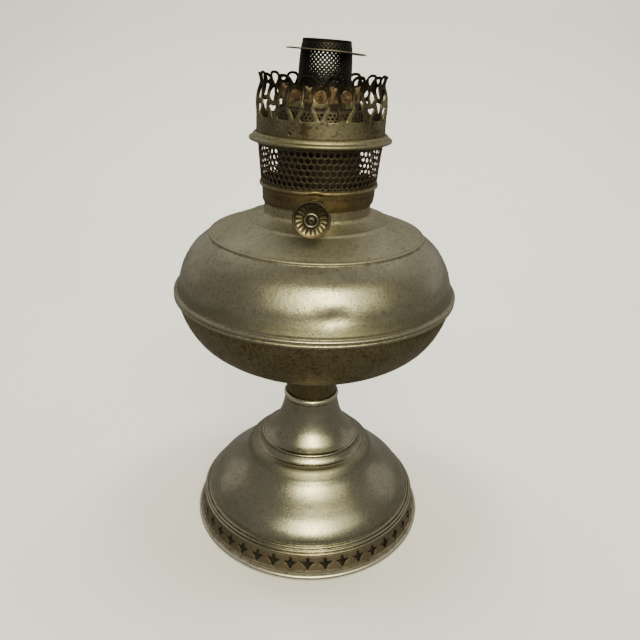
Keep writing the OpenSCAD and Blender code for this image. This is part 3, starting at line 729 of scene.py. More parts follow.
base_wear = [(70.7, 16.0, 0.4, 0.9), (69.4, 17.6, 0.35, 0.85), (67.7, 18.85, 0.35, 0.85), (31.3, 57.75, 0.4, 1.0),
             (35.4, 52.8, 0.35, 0.6)]
lathe("base_dome", chain(base_out, base_in[::-1]), "reservoir", nickel, ["base_shell"], seg=360,
      warp=dents([(-12, 40, 9, 5, 0.10), (25, 28, 10, 6, 0.12), (-150, 34, 12, 8, 0.2), (100, 30, 10, 6, 0.15)], 0.07, 3),
      dirt_and_painted_shade=base_dirt, wear=base_wear)

# foot bead
foot = chain(
    [[72.6, 5.45], [73.05, 5.5], [73.5, 5.35]],
    smooth([[73.5, 5.35], [73.72, 4.7], [73.85, 3.9], [74.05, 3.3]], 4),
    arc(73.85, 1.62, 1.35, 78, -55, 16),
    line([74.4, 0.25], [73.7, 0.0], 2), line([73.5, 0.0], [72.3, 0.0], 2),
    smooth([[72.2, 0.1], [72.0, 1.2], [72.35, 3.0], [72.6, 5.3]], 4))
lathe("foot_bead", foot, "reservoir", nickel_foot, ["foot_ring"], seg=360,
      warp=dents([], 0.05, 5), dirt_and_painted_shade=[(73.6, 5.0, 0.5, 0.9), (74.0, 3.5, 0.5, 0.75)],
      wear=[(75.1, 2.2, 0.8, 0.8)])

# pierced strip with its four-pointed holes
strip = line([73.35, 5.35], [70.5, 14.8], 8)
surf, length = wall(strip)
star_half = smooth([[0.0, 3.65], [0.5, 3.5], [0.8, 3.0], [0.78, 2.4], [0.95, 1.75], [1.45, 1.25], [2.2, 1.05], [3.0, 1.15],
                    [3.55, 1.05], [3.75, 0.65], [3.45, 0.2]], 2)
star_low = smooth([[3.45, 0.2], [2.6, -0.35], [1.8, -1.05], [1.2, -1.95], [0.7, -2.85], [0.3, -3.55], [0.0, -3.75]], 2)
star = chain(star_half, star_low)
star = np.vstack([star, (star * [-1, 1])[::-1][1:-1]])
radius = 71.9
rng = np.random.default_rng(4)
holes = []
for i in range(43):
    a = math.radians(i * 360 / 43 - 13.3)
    k = star * (1 + rng.uniform(-0.04, 0.04)) + [a * radius + rng.uniform(-0.12, 0.12), 4.85 + rng.uniform(-0.12, 0.12)]
    holes.append(k[::-1])
# painted shade: the walls of the star holes are darkened to black as painted shade; the strip is also darker towards
# its top edge
pierced("vent_band", holes, straight(length - 0.02, radius), straight(0.05, radius), radius, surf, 0.32, "reservoir", strip_mat,
        ["vent_strip"], rnd=0.05, grid=1.6,
        attrs={"dirt_and_painted_shade": lambda V: np.maximum(np.clip((V[:, 2] - 14.0) / 0.9, 0, 1) * 0.8,
                                          np.clip((73.29 - (V[:, 2] - 5.35) * 0.3016 - np.hypot(V[:, 0], V[:, 1])) / 0.15, 0, 1)), "wear": lambda V: np.zeros(len(V))})

# neck band
lathe("neck_collar", chain([[16.8, 88.5]], line([16.8, 88.3], [16.8, 84.95], 3), [[17.0, 84.9]], arc(15.45, 86.55, 2.1, -38, 66, 16)),
      "reservoir", neck_mat, ["neck_band"], seg=192, warp=dents([], 0.03, 8),
      dirt_and_painted_shade=[(17.0, 84.9, 0.35, 0.8)], wear=[(17.3, 87.6, 0.6, 0.7)])

# ------------------------------------------------------------------ font
bowl_mid = smooth([[20.6, 104.8], [25.6, 107.1], [36, 112.1], [48, 118.1], [60.3, 125], [69.2, 132],
                   [74.7, 139], [78.1, 146], [80.0, 152], [80.85, 156.9]], 8)
bowl_in = smooth([[20.4, 105.75], [25.2, 107.9], [35.6, 112.9], [47.6, 118.8], [59.8, 125.7], [68.6, 132.6],
                  [74.0, 139.4], [77.3, 146.2], [79.2, 152.2], [80.05, 157]], 3)
bowl = chain(line([15.85, 78], [15.85, 88.8], 3), smooth([[15.95, 89.3], [16.3, 93], [16.6, 97], [16.85, 100.9], [17.6, 103.0], [20.6, 104.8]], 6),
             bowl_mid, arc(81.75, 158.42, 1.12, -75, 85, 14), [[81.5, 159.5], [80.1, 159.5]], bowl_in[::-1],
             smooth([[20.4, 105.75], [17.0, 104.4], [15.9, 102.9], [15.5, 101.2]], 3), [[15.45, 78]])
lathe("font_lower", bowl, "reservoir", nickel_bowl, ["font_bowl"], seg=360,
      warp=dents([(20, 128, 14, 8, 0.15), (-60, 140, 16, 9, 0.2), (170, 132, 14, 8, 0.25)], 0.08, 6),
      dirt_and_painted_shade=[(81.0, 157.3, 0.5, 0.8), (82.0, 159.55, 0.3, 0.7), (17.2, 102.6, 0.8, 0.5)],
      wear=[(82.85, 158.3, 0.6, 1.0)])

upper_out = chain(
    [[80.1, 159.55]], arc(81.85, 160.6, 1.05, -88, 88, 16), smooth([[81.5, 161.6], [81.15, 161.72], [81.03, 162.1]], 4),
    smooth([[81.0, 163.0], [80.1, 165.5], [78.9, 169.3], [77.3, 174.4], [74.7, 179.5], [71.1, 184.6], [66.5, 188.75], [62.45, 191.75]], 8),
    smooth([[62.1, 191.95], [61.75, 192.15], [61.65, 192.5]], 3),
    arc(60.85, 193.0, 0.85, -20, 125, 12), smooth([[60.2, 193.72], [59.75, 193.8]], 2),
    smooth([[59.6, 193.85], [56.2, 195.5], [51.8, 197.3], [47, 199.1], [43.6, 200.35]], 8),
    smooth([[43.2, 200.5], [42.6, 200.75], [42.0, 201.2], [41.4, 201.7], [40.8, 201.98], [40.3, 202.08]], 4),
    smooth([[40.0, 202.1], [38.0, 202.5], [35.5, 203.2], [33.2, 204.05], [31.9, 204.7], [31.05, 205.45], [30.65, 206.05]], 6), [[29.45, 206.05]])
upper_in = smooth([[29.45, 204.6], [32.2, 203.6], [35.7, 202.2], [39.4, 200.8], [43.0, 199.7], [46.7, 198.4], [51.5, 196.5],
                   [55.9, 194.75], [59.5, 193.0], [62.0, 191.5], [66.0, 188.1], [70.5, 184.0], [74.0, 179.1], [76.5, 174.1], [78.1, 169.1],
                   [79.3, 165.2], [80.3, 162.6], [80.35, 160.6]], 3)
font_top_piece = lathe(
    "font_upper", chain(upper_out, upper_in[::-1]), "reservoir", nickel_font, [], seg=400,
    warp=dents([(6.8, 171.0, 4.8, 3.2, 0.66), (12.0, 172.3, 4.8, 3.2, 0.72), (-10, 176.0, 12, 6, 0.10), (-38, 167, 9, 5, 0.18), (140, 172, 12, 6, 0.4),
                (-120, 180, 12, 7, 0.3), (62, 176, 14, 7, 0.15)], 0.09, 2),
    dirt_and_painted_shade=[(82.2, 159.6, 0.3, 0.7), (81.55, 162.1, 0.5, 0.55), (61.9, 192.1, 0.4, 0.6), (59.8, 193.85, 0.4, 0.4),
          (30.6, 205.3, 0.6, 0.7)],
    wear=[(82.9, 160.7, 0.6, 1.0), (61.0, 193.8, 0.5, 1.0), (41.6, 201.5, 0.6, 0.5)])
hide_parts("font_top")

# threaded collar
lathe("font_neck_ring", chain([[29.1, 204.6]], [[29.1, 210.7]], [[29.8, 210.72]], arc(29.85, 210.45, 0.27, 90, 0, 4), line([30.12, 210.2], [30.12, 206.2], 4),
                              smooth([[30.14, 206.0], [30.25, 205.6], [30.55, 205.45]], 3), [[29.4, 205.45], [29.4, 204.6]]),
      "reservoir", collar_mat, ["font_collar"], seg=256, warp=dents([], 0.03, 12),
      dirt_and_painted_shade=[(30.3, 205.5, 0.45, 0.9), (30.0, 210.6, 0.3, 0.8)])

# ------------------------------------------------------------------ burner
def seated(P):
    """The burner stands a trace crooked in its collar, as in the photo."""
    z = P[:, 2]
    dx = np.clip((z - 211.4) / 3.0, 0, 1) * (0.30 + 0.0085 * (z - 214.0))
    return P + np.stack([dx, 0 * dx, 0 * dx], 1)


lathe("burner_band", chain([[28.1, 204.6], [29.0, 204.7]], line([29.05, 204.9], [29.05, 211.4], 4), [[30.55, 211.4]],
                           smooth([[30.75, 211.45], [31.0, 211.7], [31.1, 212.1]], 3), smooth([[31.12, 212.2], [31.35, 213.2], [31.5, 214.8], [31.62, 217.0], [31.72, 219.2]], 5),
                           [[31.75, 219.6], [31.7, 220.0], [31.4, 220.0], [31.4, 221.85], [28.1, 221.9], [28.1, 221.1], [30.6, 221.1],
                            [30.6, 219.8], [30.9, 219.0], [30.7, 213.4], [30.2, 212.4], [28.1, 212.4]]),
      "burner", brass_mat, ["burner_shell"], seg=288, warp=dents([(35, 216, 6, 3, 0.1), (-30, 215, 5, 3, 0.08)], 0.03, 14),
      place=seated, dirt_and_painted_shade=[(31.0, 211.5, 0.6, 0.9), (31.75, 219.8, 0.6, 0.8)], wear=[(31.1, 212.2, 0.4, 0.7), (31.72, 219.0, 0.4, 0.7)])


def front(P):
    """Turns a piece spun round +Z so that its axis points to -Y at the raiser shaft's height."""
    return np.stack([P[:, 0], -P[:, 2], P[:, 1] + 214.6], 1)


# bearing boss and gland nut behind the knob (local height is the distance towards -Y)
lathe("sleeve_boss", chain([[1.55, 25.6], [3.0, 25.6], [3.0, 30.8], [4.55, 30.9]], line([4.6, 31.3], [4.6, 35.4], 3), arc(4.2, 35.6, 0.4, 0, 90, 4),
                           [[2.9, 36.0], [2.9, 33.4], [1.55, 33.4]]),
      "burner", brass_mat, ["shaft_sleeve"], seg=96, place=front, dirt_and_painted_shade=[(4.6, 31.6, 0.8, 0.9)])

# hexagon gland nut with turned corners
hexes = []
prof_nut = chain([[1.55, 36.05], [4.2, 36.05]], line([4.75, 36.35], [4.75, 39.3], 2), [[4.3, 39.65]], [[3.4, 39.7], [3.4, 40.6], [3.15, 40.85], [1.55, 40.85]])
A, R, Z, f = spin(prof_nut, 96)
flat = 4.33 / np.maximum(np.cos((A + math.pi / 6) % (math.pi / 3) - math.pi / 6), 0.5)
R2 = np.where((Z > 36.0) & (Z < 39.68) & (R > 3.6), np.minimum(np.where(R > 4.7, 5.0, R + 0.2), flat), R)
make("gland_nut", front(np.stack([R2 * np.sin(A), -R2 * np.cos(A), Z], 1)), f, "burner", brass_mat, ["packing_nut"], sharp=30,
     attrs={"dirt_and_painted_shade": marks(R2, Z, [(3.4, 39.7, 0.5, 0.8)]), "wear": np.zeros(len(R2))})

# rusty sleeve round the wick tube, cut out below for the rack guide, its top edge burnt ragged
defl_line = smooth([[22.7, 221.95], [22.7, 232], [22.65, 243], [22.3, 249], [21.2, 255], [20.75, 259], [20.65, 265], [20.6, 268.5], [20.45, 271], [20.3, 272.5]], 5)
surf, length = wall(defl_line)
radius = 21.6
rng = np.random.default_rng(31)
t = np.linspace(0, TAU * radius, 260, endpoint=False)
ragged = sum(rng.uniform(0.06, 0.22) * np.sin(k * t / radius + rng.uniform(0, 6)) for k in (3, 5, 8, 13, 19, 27, 38))
notch = np.array([[-9.45, 222.6], [-3.15, 222.6], [-3.15, 245.5], [-9.45, 245.5]])
notch[:, 0] = np.arcsin(notch[:, 0] / 22.65) * radius
notch[:, 1] = [along(defl_line, z) for z in notch[:, 1]]
loop = even(notch, 1.0)
area = np.sum(loop[:, 0] * np.roll(loop[:, 1], -1) - np.roll(loop[:, 0], -1) * loop[:, 1])
loop = loop if area < 0 else loop[::-1]


def crumpled(V):
    a = np.arctan2(V[:, 0], -V[:, 1])
    r = np.hypot(V[:, 0], V[:, 1])
    z = V[:, 2]
    t = np.clip((z - 262) / 10, 0, 1)
    d = 0.14 * np.sin(9 * a + 0.3 * z) + 0.09 * np.sin(17 * a + 0.9 * z) + 0.08 * np.sin(5 * a + 2)
    curl = 0.30 * np.clip((z - 270.5) / 2, 0, 1) ** 2 * (1 + np.sin(4 * a + 1.0))
    r = r + d * t * 0.8 + curl
    return np.stack([r * np.sin(a), -r * np.cos(a), z], 1)


pierced("air_deflector", [loop], np.stack([t, length - 0.55 + ragged], 1), straight(0.02, radius), radius, surf, 0.55, "burner", rust_mat,
        ["deflector"], rnd=0.12, grid=1.3, warp=crumpled,
        attrs={"dirt_and_painted_shade": lambda V: np.zeros(len(V)), "wear": lambda V: np.zeros(len(V))})

# ------------------------------------------------------------------ raiser knob, 18 scooped flutes
FL = 18
knob_prof_r = np.r_[np.linspace(1.5, 3.5, 3), np.linspace(3.62, 7.7, 24), 7.8]
seg = FL * 20
A = np.arange(seg) / seg * TAU


def knob_front(r, a):
    """Height of the knob's front (towards -Y) above its plane."""
    ph = (a * FL / TAU) % 1.0
    across = np.abs(ph - 0.5) * 2
    t = np.clip((r - 3.7) / 4.05, 0, 1)
    edge = 0.80 + 0.12 * t
    scoop = np.clip(1 - (across / edge) ** 2.4, 0, 1)
    deep = np.interp(t, [0, 0.03, 0.09, 0.3, 0.6, 0.85, 0.97, 1], [0, 0.6, 0.98, 0.92, 0.66, 0.34, 0.08, 0])
    ridge = 0.12 - 0.22 * t * (1 - t) * 4 * 0.6
    return ridge - 0.95 * scoop * deep


ring_pts = []
for r in knob_prof_r:
    h = np.where(r < 3.6, 0.5 + 0 * A, knob_front(np.full_like(A, r), A))
    if r < 3.6:
        h = np.full_like(A, 0.3)
    ring_pts.append(np.stack([np.full_like(A, r), h], 1))
rim = chain(arc(8.62, -0.5, 0.78, 165, -60, 18), [[8.8, -1.38], [8.3, -1.6]], [[1.5, -1.6]])
for r, z in rim:
    ring_pts.append(np.stack([np.full_like(A, r), np.full_like(A, z)], 1))
ring_pts = np.array(ring_pts)
n = len(ring_pts)
V = np.stack([ring_pts[:, :, 0] * np.sin(A), -ring_pts[:, :, 0] * np.cos(A), 59.5 + ring_pts[:, :, 1]], -1)
i, j = np.meshgrid(np.arange(n), np.arange(seg), indexing="ij")
F = np.stack([i * seg + j, i * seg + (j + 1) % seg, ((i + 1) % n) * seg + (j + 1) % seg, ((i + 1) % n) * seg + j], -1).reshape(-1, 4)
rr = ring_pts[:, :, 0].ravel()
hh = ring_pts[:, :, 1].ravel()
deep = np.clip((0.0 - hh) / 0.9, 0, 1) * ((rr > 3.7) & (rr < 7.9))
make("knob_disc", front(V.reshape(-1, 3)), F, "raiser", knob_mat, ["knob_face"], sharp=50,
     attrs={"dirt_and_painted_shade": np.clip(deep * 0.55 + ((rr > 3.65) & (rr < 4.5)) * 0.6 + (rr > 7.82) * 0.55, 0, 1), "wear": ((rr > 8.4) & (hh > 0.0)) * 0.2})
lathe("knob_hub", chain([[0, 0], [2.5, 0.2]], [[2.55, 0.35]], arc(3.05, 0.5, 0.55, 180, 0, 10), [[3.6, 0.3], [3.7, 0.05], [3.7, -0.2], [0, -0.2]]),
      "raiser", plated("hub_nickel", (0.45, 0.42, 0.36), (0.30, 0.26, 0.2), (0.14, 0.11, 0.08), rough=(0.24, 0.36), stains=0.5, pits=0.2, grain=0.5, seed=15),
      [], seg=96, place=lambda P: front(P + [0, 0, 59.55]))
lathe("rivet_head", chain([[0, 0.2], [2.42, 0.25]], arc(0.55, 0.25, 1.87, 0, 82, 12), smooth([[0.75, 2.1], [0.55, 1.95], [0.35, 1.6], [0.12, 1.45], [0, 1.43]], 4)),
      "raiser", plated("dark_rivet", (0.13, 0.112, 0.085), (0.08, 0.066, 0.048), (0.035, 0.028, 0.02), rough=(0.34, 0.5), stains=0.8, pits=0.3, grain=0.8, seed=20.1), ["knob_rivet"], seg=96, place=lambda P: front(P + [0, 0, 59.6]),
      dirt_and_painted_shade=[(2.4, 0.3, 0.35, 0.9), (0, 1.5, 0.45, 1.0)], wear=[(1.6, 1.9, 0.4, 0.5)])
lathe("knob_rear", chain([[1.5, 57.85], [8.0, 57.85]], arc(7.9, 57.45, 0.4, 90, -60, 6), smooth([[7.8, 57.05], [6.4, 56.6], [4.6, 56.2], [3.5, 55.7], [3.0, 54.7], [2.9, 52.9]], 4), [[1.5, 52.7]]),
      "raiser", knob_mat, ["knob_back"], seg=128, place=front, dirt_and_painted_shade=[(3.3, 55.5, 0.8, 0.8)])

# ------------------------------------------------------------------ gallery
lathe("basket_bead", chain([[31.5, 220.1]], arc(32.1, 221.15, 1.08, -100, 70, 16), smooth([[32.48, 222.25], [32.42, 222.6]], 2), [[31.9, 222.5], [31.5, 221.4]]),
      "gallery", plated("bead_brass", (0.33, 0.272, 0.172), (0.215, 0.168, 0.10), (0.075, 0.056, 0.032), rough=(0.34, 0.52), stains=1.0, pits=0.4, grain=1.0, seed=16),
      [], seg=288, warp=lambda A, R, Z: (R, Z + 0.75 * np.exp(-(((A + math.pi) % TAU - math.pi) * 32 / 2.6) ** 2 / 2)),
      place=seated, dirt_and_painted_shade=[(32.4, 222.3, 0.5, 0.9)], wear=[(33.1, 220.8, 0.5, 0.6)])

basket_line = smooth([[32.38, 222.1], [32.45, 223.2], [33.15, 232], [34.2, 243.6]], 6)
surf, length = wall(basket_line)
radius = 32.9
holes = []
for row, z in enumerate((240.8, 237.65, 234.5, 231.35, 228.2, 225.15)):
    v = along(basket_line, z)
    for i in range(62):
        a = (i + 0.5 * (row % 2)) * TAU / 62 + 0.013
        t = np.linspace(0, TAU, 14, endpoint=False) + 0.2
        holes.append(np.stack([a * radius + 1.36 * np.cos(t), v + 1.34 * np.sin(t)], 1)[::-1])
v = along(basket_line, 223.05)
for i in range(62):
    a = (i + 0.0) * TAU / 62
    t = np.linspace(0, TAU, 10, endpoint=False)
    holes.append(np.stack([a * radius + 0.62 * np.cos(t), v + 0.5 * np.sin(t)], 1)[::-1])
# painted shadow: the top 1.5 mm of the basket is darkened as the gallery ring's shadow; the wall is lighter towards the
# bottom
pierced("basket_wall", holes, straight(length - 0.05, radius), straight(0.02, radius), radius, surf, 0.6, "gallery", basket_mat,
        ["basket"], rnd=0.10, grid=1.5, place=seated,
        attrs={"dirt_and_painted_shade": lambda V: np.clip((V[:, 2] - 242.2) / 1.5, 0, 1) * 0.5, "wear": lambda V: np.clip((224.5 - V[:, 2]) / 3, 0, 1) * 0.7})

ring = chain([[33.0, 243.75]], line([33.4, 243.75], [36.4, 243.8], 3), smooth([[36.4, 243.8], [37.6, 243.95], [38.5, 244.35]], 3), arc(38.02, 245.12, 0.98, -48, 70, 14),
             smooth([[38.2, 246.12], [37.75, 246.25], [37.3, 246.5]], 4), smooth([[37.2, 246.6], [36.95, 247.2], [36.5, 247.85], [35.9, 248.25], [35.4, 248.4]], 4),
             [[34.98, 248.55], [34.96, 248.0], [35.3, 247.6], [35.3, 246.0], [33.0, 246.0]])
lathe("gallery_bead", ring, "gallery", nickel_small, ["gallery_ring"], seg=320, warp=dents([], 0.05, 21, (2, 3, 4, 9)), place=seated,
      dirt_and_painted_shade=[(37.5, 246.35, 0.4, 0.45), (35.2, 248.45, 0.45, 0.9), (36.5, 243.8, 0.9, 0.8)],
      wear=[(38.9, 245.3, 0.6, 0.6)])

# openwork crown: 16 loops
CR = 16
crown_prof = smooth([[34.88, 246.1], [34.86, 250], [34.86, 254], [34.9, 258], [34.98, 262], [34.9, 265], [34.55, 267.5], [33.95, 270],
                     [33.4, 272], [33.15, 273.3], [33.25, 274.4], [33.6, 275.6], [34.1, 276.8], [34.5, 277.6]], 6)
surf, length = wall(crown_prof)
radius = 34.8
zs = lambda z: np.array([along(crown_prof, q) for q in np.atleast_1d(z)])


def pattern(points, step=0.42, k=4):
    """A closed loop from the right half of a shape that is mirrored at u = 0, heights turned into distances."""
    p = smooth(points, k)
    p = np.vstack([p, (p * [-1, 1])[::-1][1:-1]])
    p = even(p, step)
    return np.stack([p[:, 0], zs(p[:, 1])], 1)


vase = pattern([[0, 256.7], [2.2, 256.72], [3.2, 256.9], [3.5, 257.5], [3.3, 258.3], [2.8, 259.5], [2.05, 260.8], [1.65, 262.3], [1.6, 263.2], [1.9, 264.5],
                [2.3, 265.6], [2.2, 266.4], [1.85, 267.4], [1.4, 269.2], [1.4, 270.6], [1.95, 272.4], [2.6, 274.0], [2.8, 274.9], [2.2, 275.8], [1.0, 276.2], [0, 276.3]])
heart_r = smooth([[0, 262.75], [1.5, 263.0], [2.9, 262.95], [3.2, 262.5], [2.6, 261.6], [1.8, 260.4], [1.2, 259.1], [0.6, 257.9], [0, 256.95]], 4)
heart = even(np.vstack([heart_r, (heart_r * [-1, 1])[::-1][1:-1]]), 0.42)
heart = np.stack([heart[:, 0], zs(heart[:, 1])], 1)
t = np.linspace(0, TAU, 40, endpoint=False)
eye = np.stack([3.4 * np.cos(t), zs(268.45 + 3.1 * np.sin(t))], 1)
rng = np.random.default_rng(11)
holes = []
top = []
for i in range(CR):
    a = math.radians(12.6 + 22.5 * i)
    u0 = a * radius
    j = rng.uniform(-0.1, 0.1, 2)
    holes.append((vase * [1 + rng.uniform(-0.05, 0.05), 1] + [u0 + j[0], 0]))
    holes.append((heart * [1 + rng.uniform(-0.06, 0.06), 1] + [u0 - TAU * radius / (2 * CR) + j[1], 0]))
    holes.append((eye * [1 + rng.uniform(-0.04, 0.04), 1] + [u0 - TAU * radius / (2 * CR) + j[1] * 0.5, 0]))
    half = smooth([[-6.0, 273.05], [-5.3, 273.25], [-4.55, 273.95], [-3.85, 275.1], [-2.95, 276.6], [-1.6, 277.45], [0, 277.6]], 5)
    half = np.vstack([half, (half * [-1, 1])[::-1][1:-1]])
    half[:, 0] *= TAU * radius / (2 * CR) / 6.0
    top.append(np.stack([half[:, 0] + u0, zs(half[:, 1])], 1))
top = np.vstack(top)
# small punched marks above the ring
for az, z in ((-24.8, 250.4), (63.3, 250.6), (112, 250.5), (158, 250.4), (-72, 250.5), (-150, 250.5)):
    t = np.linspace(0, TAU, 10, endpoint=False)
    holes.append(np.stack([math.radians(az) * radius + 0.55 * np.cos(t), zs(np.full(10, z)) + 0.65 * np.sin(t)], 1))
holes = [h if np.sum(h[:, 0] * np.roll(h[:, 1], -1) - np.roll(h[:, 0], -1) * h[:, 1]) < 0 else h[::-1] for h in holes]
lean_out = rng.uniform(-0.55, 0.75, CR)
lean_side = rng.uniform(-0.7, 0.7, CR)
lift = rng.uniform(-0.25, 0.25, CR)
for k, v in ((0, 0.2), (1, 0.1), (2, 0.2), (3, 0.0), (4, -0.2), (5, 0.1), (11, -0.35), (12, -0.3), (13, -0.1), (14, 0.1), (15, 0.0)):
    lean_out[k] = v
slide = np.zeros(CR)
for k, v in ((0, -0.45), (1, -1.1), (2, 0.3), (5, 1.2), (6, 0.7), (9, -0.4), (10, -0.3), (13, 0.8), (14, 0.5), (15, 0.4)):
    slide[k] = v


def bent(V):
    a = np.arctan2(V[:, 0], -V[:, 1])
    r = np.hypot(V[:, 0], V[:, 1])
    ph = (np.degrees(a) - 12.6) / 22.5
    k0 = np.floor(ph).astype(int)
    f = ph - k0
    w = f * f * (3 - 2 * f)
    pick = lambda q: q[k0 % CR] * (1 - w) + q[(k0 + 1) % CR] * w
    t = np.clip((V[:, 2] - 267.0) / 10.0, 0, 1.2)
    r = r + pick(lean_out) * t ** 2 * 1.2 + 0.10 * np.sin(5 * a + 0.8) + 0.12 * np.sin(3 * a)
    a = a + (pick(lean_side) * t ** 2 + pick(slide)) / 34.0
    z = V[:, 2] + pick(lift) * t ** 2
    # a little inward dishing of the ribs between openings
    z0 = np.clip((V[:, 2] - 256) / 4, 0, 1) * np.clip((272 - V[:, 2]) / 4, 0, 1)
    r = r + 0.22 * z0 * np.cos(np.radians((np.degrees(a) - 12.6) * 16))
    return np.stack([r * np.sin(a), -r * np.cos(a), z], 1)


pierced("crown_openwork", holes, top, straight(0.0, radius, 0.9), radius, surf, 1.0, "gallery", crown_mat, ["crown"], rnd=0.33,
        grid=0.8, warp=bent, place=seated, sharp=60,
        attrs={"dirt_and_painted_shade": lambda V: np.clip((250.2 - V[:, 2]) / 1.6, 0, 1) * 0.7, "wear": lambda V: np.clip((V[:, 2] - 256) / 3, 0, 1) * np.clip((268 - V[:, 2]) / 3, 0, 1) * 0.28})

# inner air cone and chimney ledge
cone_line = smooth([[31.2, 249.9], [29.4, 252.6], [27.0, 256.4], [24.6, 260.4], [23.9, 261.4]], 6)
surf, length = wall(cone_line)
radius = 27.6
holes = []
for row in range(6):
    v = 1.4 + row * 1.95
    cnt = 72
    for i in range(cnt):
        a = (i + 0.5 * (row % 2)) * TAU / cnt
        t = np.linspace(0, TAU, 9, endpoint=False)
        holes.append(np.stack([a * radius + 0.66 * np.cos(t), v + 0.66 * np.sin(t)], 1)[::-1])
pierced("cone_wall", holes, straight(length - 0.05, radius), straight(0.02, radius), radius, surf, 0.5, "gallery", dark_mat, ["air_cone"],
        rnd=0.08, grid=1.3, place=seated, attrs={"dirt_and_painted_shade": lambda V: np.zeros(len(V)), "wear": lambda V: np.zeros(len(V))})
lathe("chimney_ledge", chain([[30.9, 249.0], [33.75, 249.0], [33.75, 249.6], [31.3, 249.62], [31.15, 250.1], [30.8, 250.0], [30.75, 249.3]]), "gallery", dark_mat, [],
      seg=192, place=seated)

# ------------------------------------------------------------------ flame spreader, leaning as in the photo
LEAN = math.radians(2)
BACK = math.radians(0.5)


def leaning(P):
    q = P - [0, 0, 270]
    c, s = math.cos(LEAN), math.sin(LEAN)
    q = np.stack([q[:, 0] * c + q[:, 2] * s, q[:, 1], -q[:, 0] * s + q[:, 2] * c], 1)
    c, s = math.cos(BACK), math.sin(BACK)
    return np.stack([q[:, 0] + 1.55, q[:, 1] * c + q[:, 2] * s, -q[:, 1] * s + q[:, 2] * c + 270.6], 1)


th_line = smooth([[14.2, 270.7], [14.08, 274.3], [14.0, 278], [13.88, 282], [13.52, 287], [13.2, 290], [12.75, 291.9]], 5)
surf, length = wall(th_line)
radius = 13.7
holes = []
zrow = [271.9 + 1.18 * i for i in range(14)] + [289.15, 290.2, 291.1]
for row, z in enumerate(zrow):
    v = along(th_line, z)
    for i in range(37):
        a = (i + 0.5 * (row % 2)) * TAU / 37 - 0.001
        t = np.linspace(0, TAU, 8, endpoint=False) + 0.39
        holes.append(np.stack([a * radius + 0.51 * np.cos(t), v + 0.46 * np.sin(t)], 1)[::-1])
pierced("thimble_wall", holes, straight(length - 0.02, radius, 0.8), straight(0.02, radius, 0.8), radius, surf, 0.4, "spreader", black_mat,
        ["thimble"], rnd=0.06, grid=0.9, place=leaning,
        attrs={"dirt_and_painted_shade": lambda V: np.zeros(len(V)), "wear": lambda V: np.clip((V[:, 2] - 290.6) / 1, 0, 1) * 0.6})
lathe("thimble_lid", chain([[11.95, 288.4], [12.15, 288.4]], line([12.15, 288.6], [12.1, 291.6], 4), [[12.2, 291.85], [12.68, 291.9]], line([12.74, 292.0], [12.7, 292.95], 2),
                           arc(12.3, 293.0, 0.42, 0, 90, 6), smooth([[12.2, 293.4], [11.6, 293.1], [11.2, 292.95]], 3),
                           smooth([[11.0, 292.95], [6, 293.05], [0, 293.1]], 4), [[0, 292.6], [11.4, 292.4], [11.8, 291.9]], line([11.85, 291.6], [11.9, 288.6], 4)),
      "spreader", lid_mat, ["thimble_cap"], seg=128, place=leaning, wear=[(12.7, 293.3, 0.3, 0.4)])
TILT = math.radians(1.7)


def disc_place(P):
    q = P - [0, 0, 288.0]
    c, s = math.cos(TILT), math.sin(TILT)
    return leaning(np.stack([q[:, 0] * c + q[:, 2] * s, q[:, 1], -q[:, 0] * s + q[:, 2] * c + 288.0], 1))


def warped_disc(A, R, Z):
    t = np.clip((R - 13.5) / 7.1, 0, 1)
    return R + 0.08 * np.sin(3 * A) * t, Z + t * (0.18 * np.sin(2 * A + 0.8) + 0.08 * np.sin(5 * A))


lathe("flame_disc", chain([[13.55, 287.7], [13.8, 287.68]], line([14.2, 287.65], [20.45, 287.65], 8), arc(20.52, 288.0, 0.34, -80, 80, 6), line([20.45, 288.35], [13.8, 288.35], 8), [[13.55, 288.3]]),
      "spreader", steel_mat, ["spreader_disc"], seg=192, warp=warped_disc, place=disc_place, dirt_and_painted_shade=[(13.6, 288.3, 0.8, 0.8)],
      wear=[(20.85, 288.2, 0.5, 0.8)])

# ------------------------------------------------------------------ wick, thinner where it chars and frays
wick = chain([[15.75, 126.0], [18.05, 126.0]], line([18.1, 126.5], [18.1, 268.6], 60), smooth([[18.1, 268.8], [17.95, 270.4], [17.2, 270.95], [16.55, 270.4], [16.38, 268.8]], 4),
             line([16.38, 268.6], [16.38, 257.5], 6), line([16.3, 256.5], [15.75, 249.0], 4), line([15.7, 248.0], [15.7, 126.5], 50))


def frayed(A, R, Z):
    t = np.clip((Z - 268.5) / 2.5, 0, 1)
    return R, Z + t * (0.10 * np.sin(31 * A) + 0.08 * np.sin(53 * A + 1)) - 0.12 * t


lathe("wick_cloth", wick, "wick_carriage", cloth_mat, ["wick"], seg=240, warp=frayed, sharp=80)

# ------------------------------------------------------------------ filler cap at the back
A0 = 0
cap_prof = chain([[0, 203.45], [7.15, 203.45], [7.15, 201.0], [8.25, 201.0]], line([8.3, 201.15], [8.3, 203.7], 5), arc(7.75, 203.85, 0.55, 0, 90, 6),
                 smooth([[7.5, 204.42], [5.5, 204.5], [3.0, 204.5], [0, 204.5]], 4))
A, R, Z, f = spin(cap_prof, 240)
knurl = ((R > 8.2) & (Z > 201.05) & (Z < 203.9)) * 0.22 * np.clip(np.cos(A * 30), -0.2, 1)
R = R - knurl
make("cap_knurled", np.stack([R * np.sin(A), -R * np.cos(A) + 51.7, Z], 1), f, "cap", nickel_small, ["filler_cap"], sharp=45,
     attrs={"dirt_and_painted_shade": marks(R, Z, [(8.2, 201.1, 0.5, 0.7)]), "wear": marks(R, Z, [(8.1, 204.2, 0.5, 0.7)])})

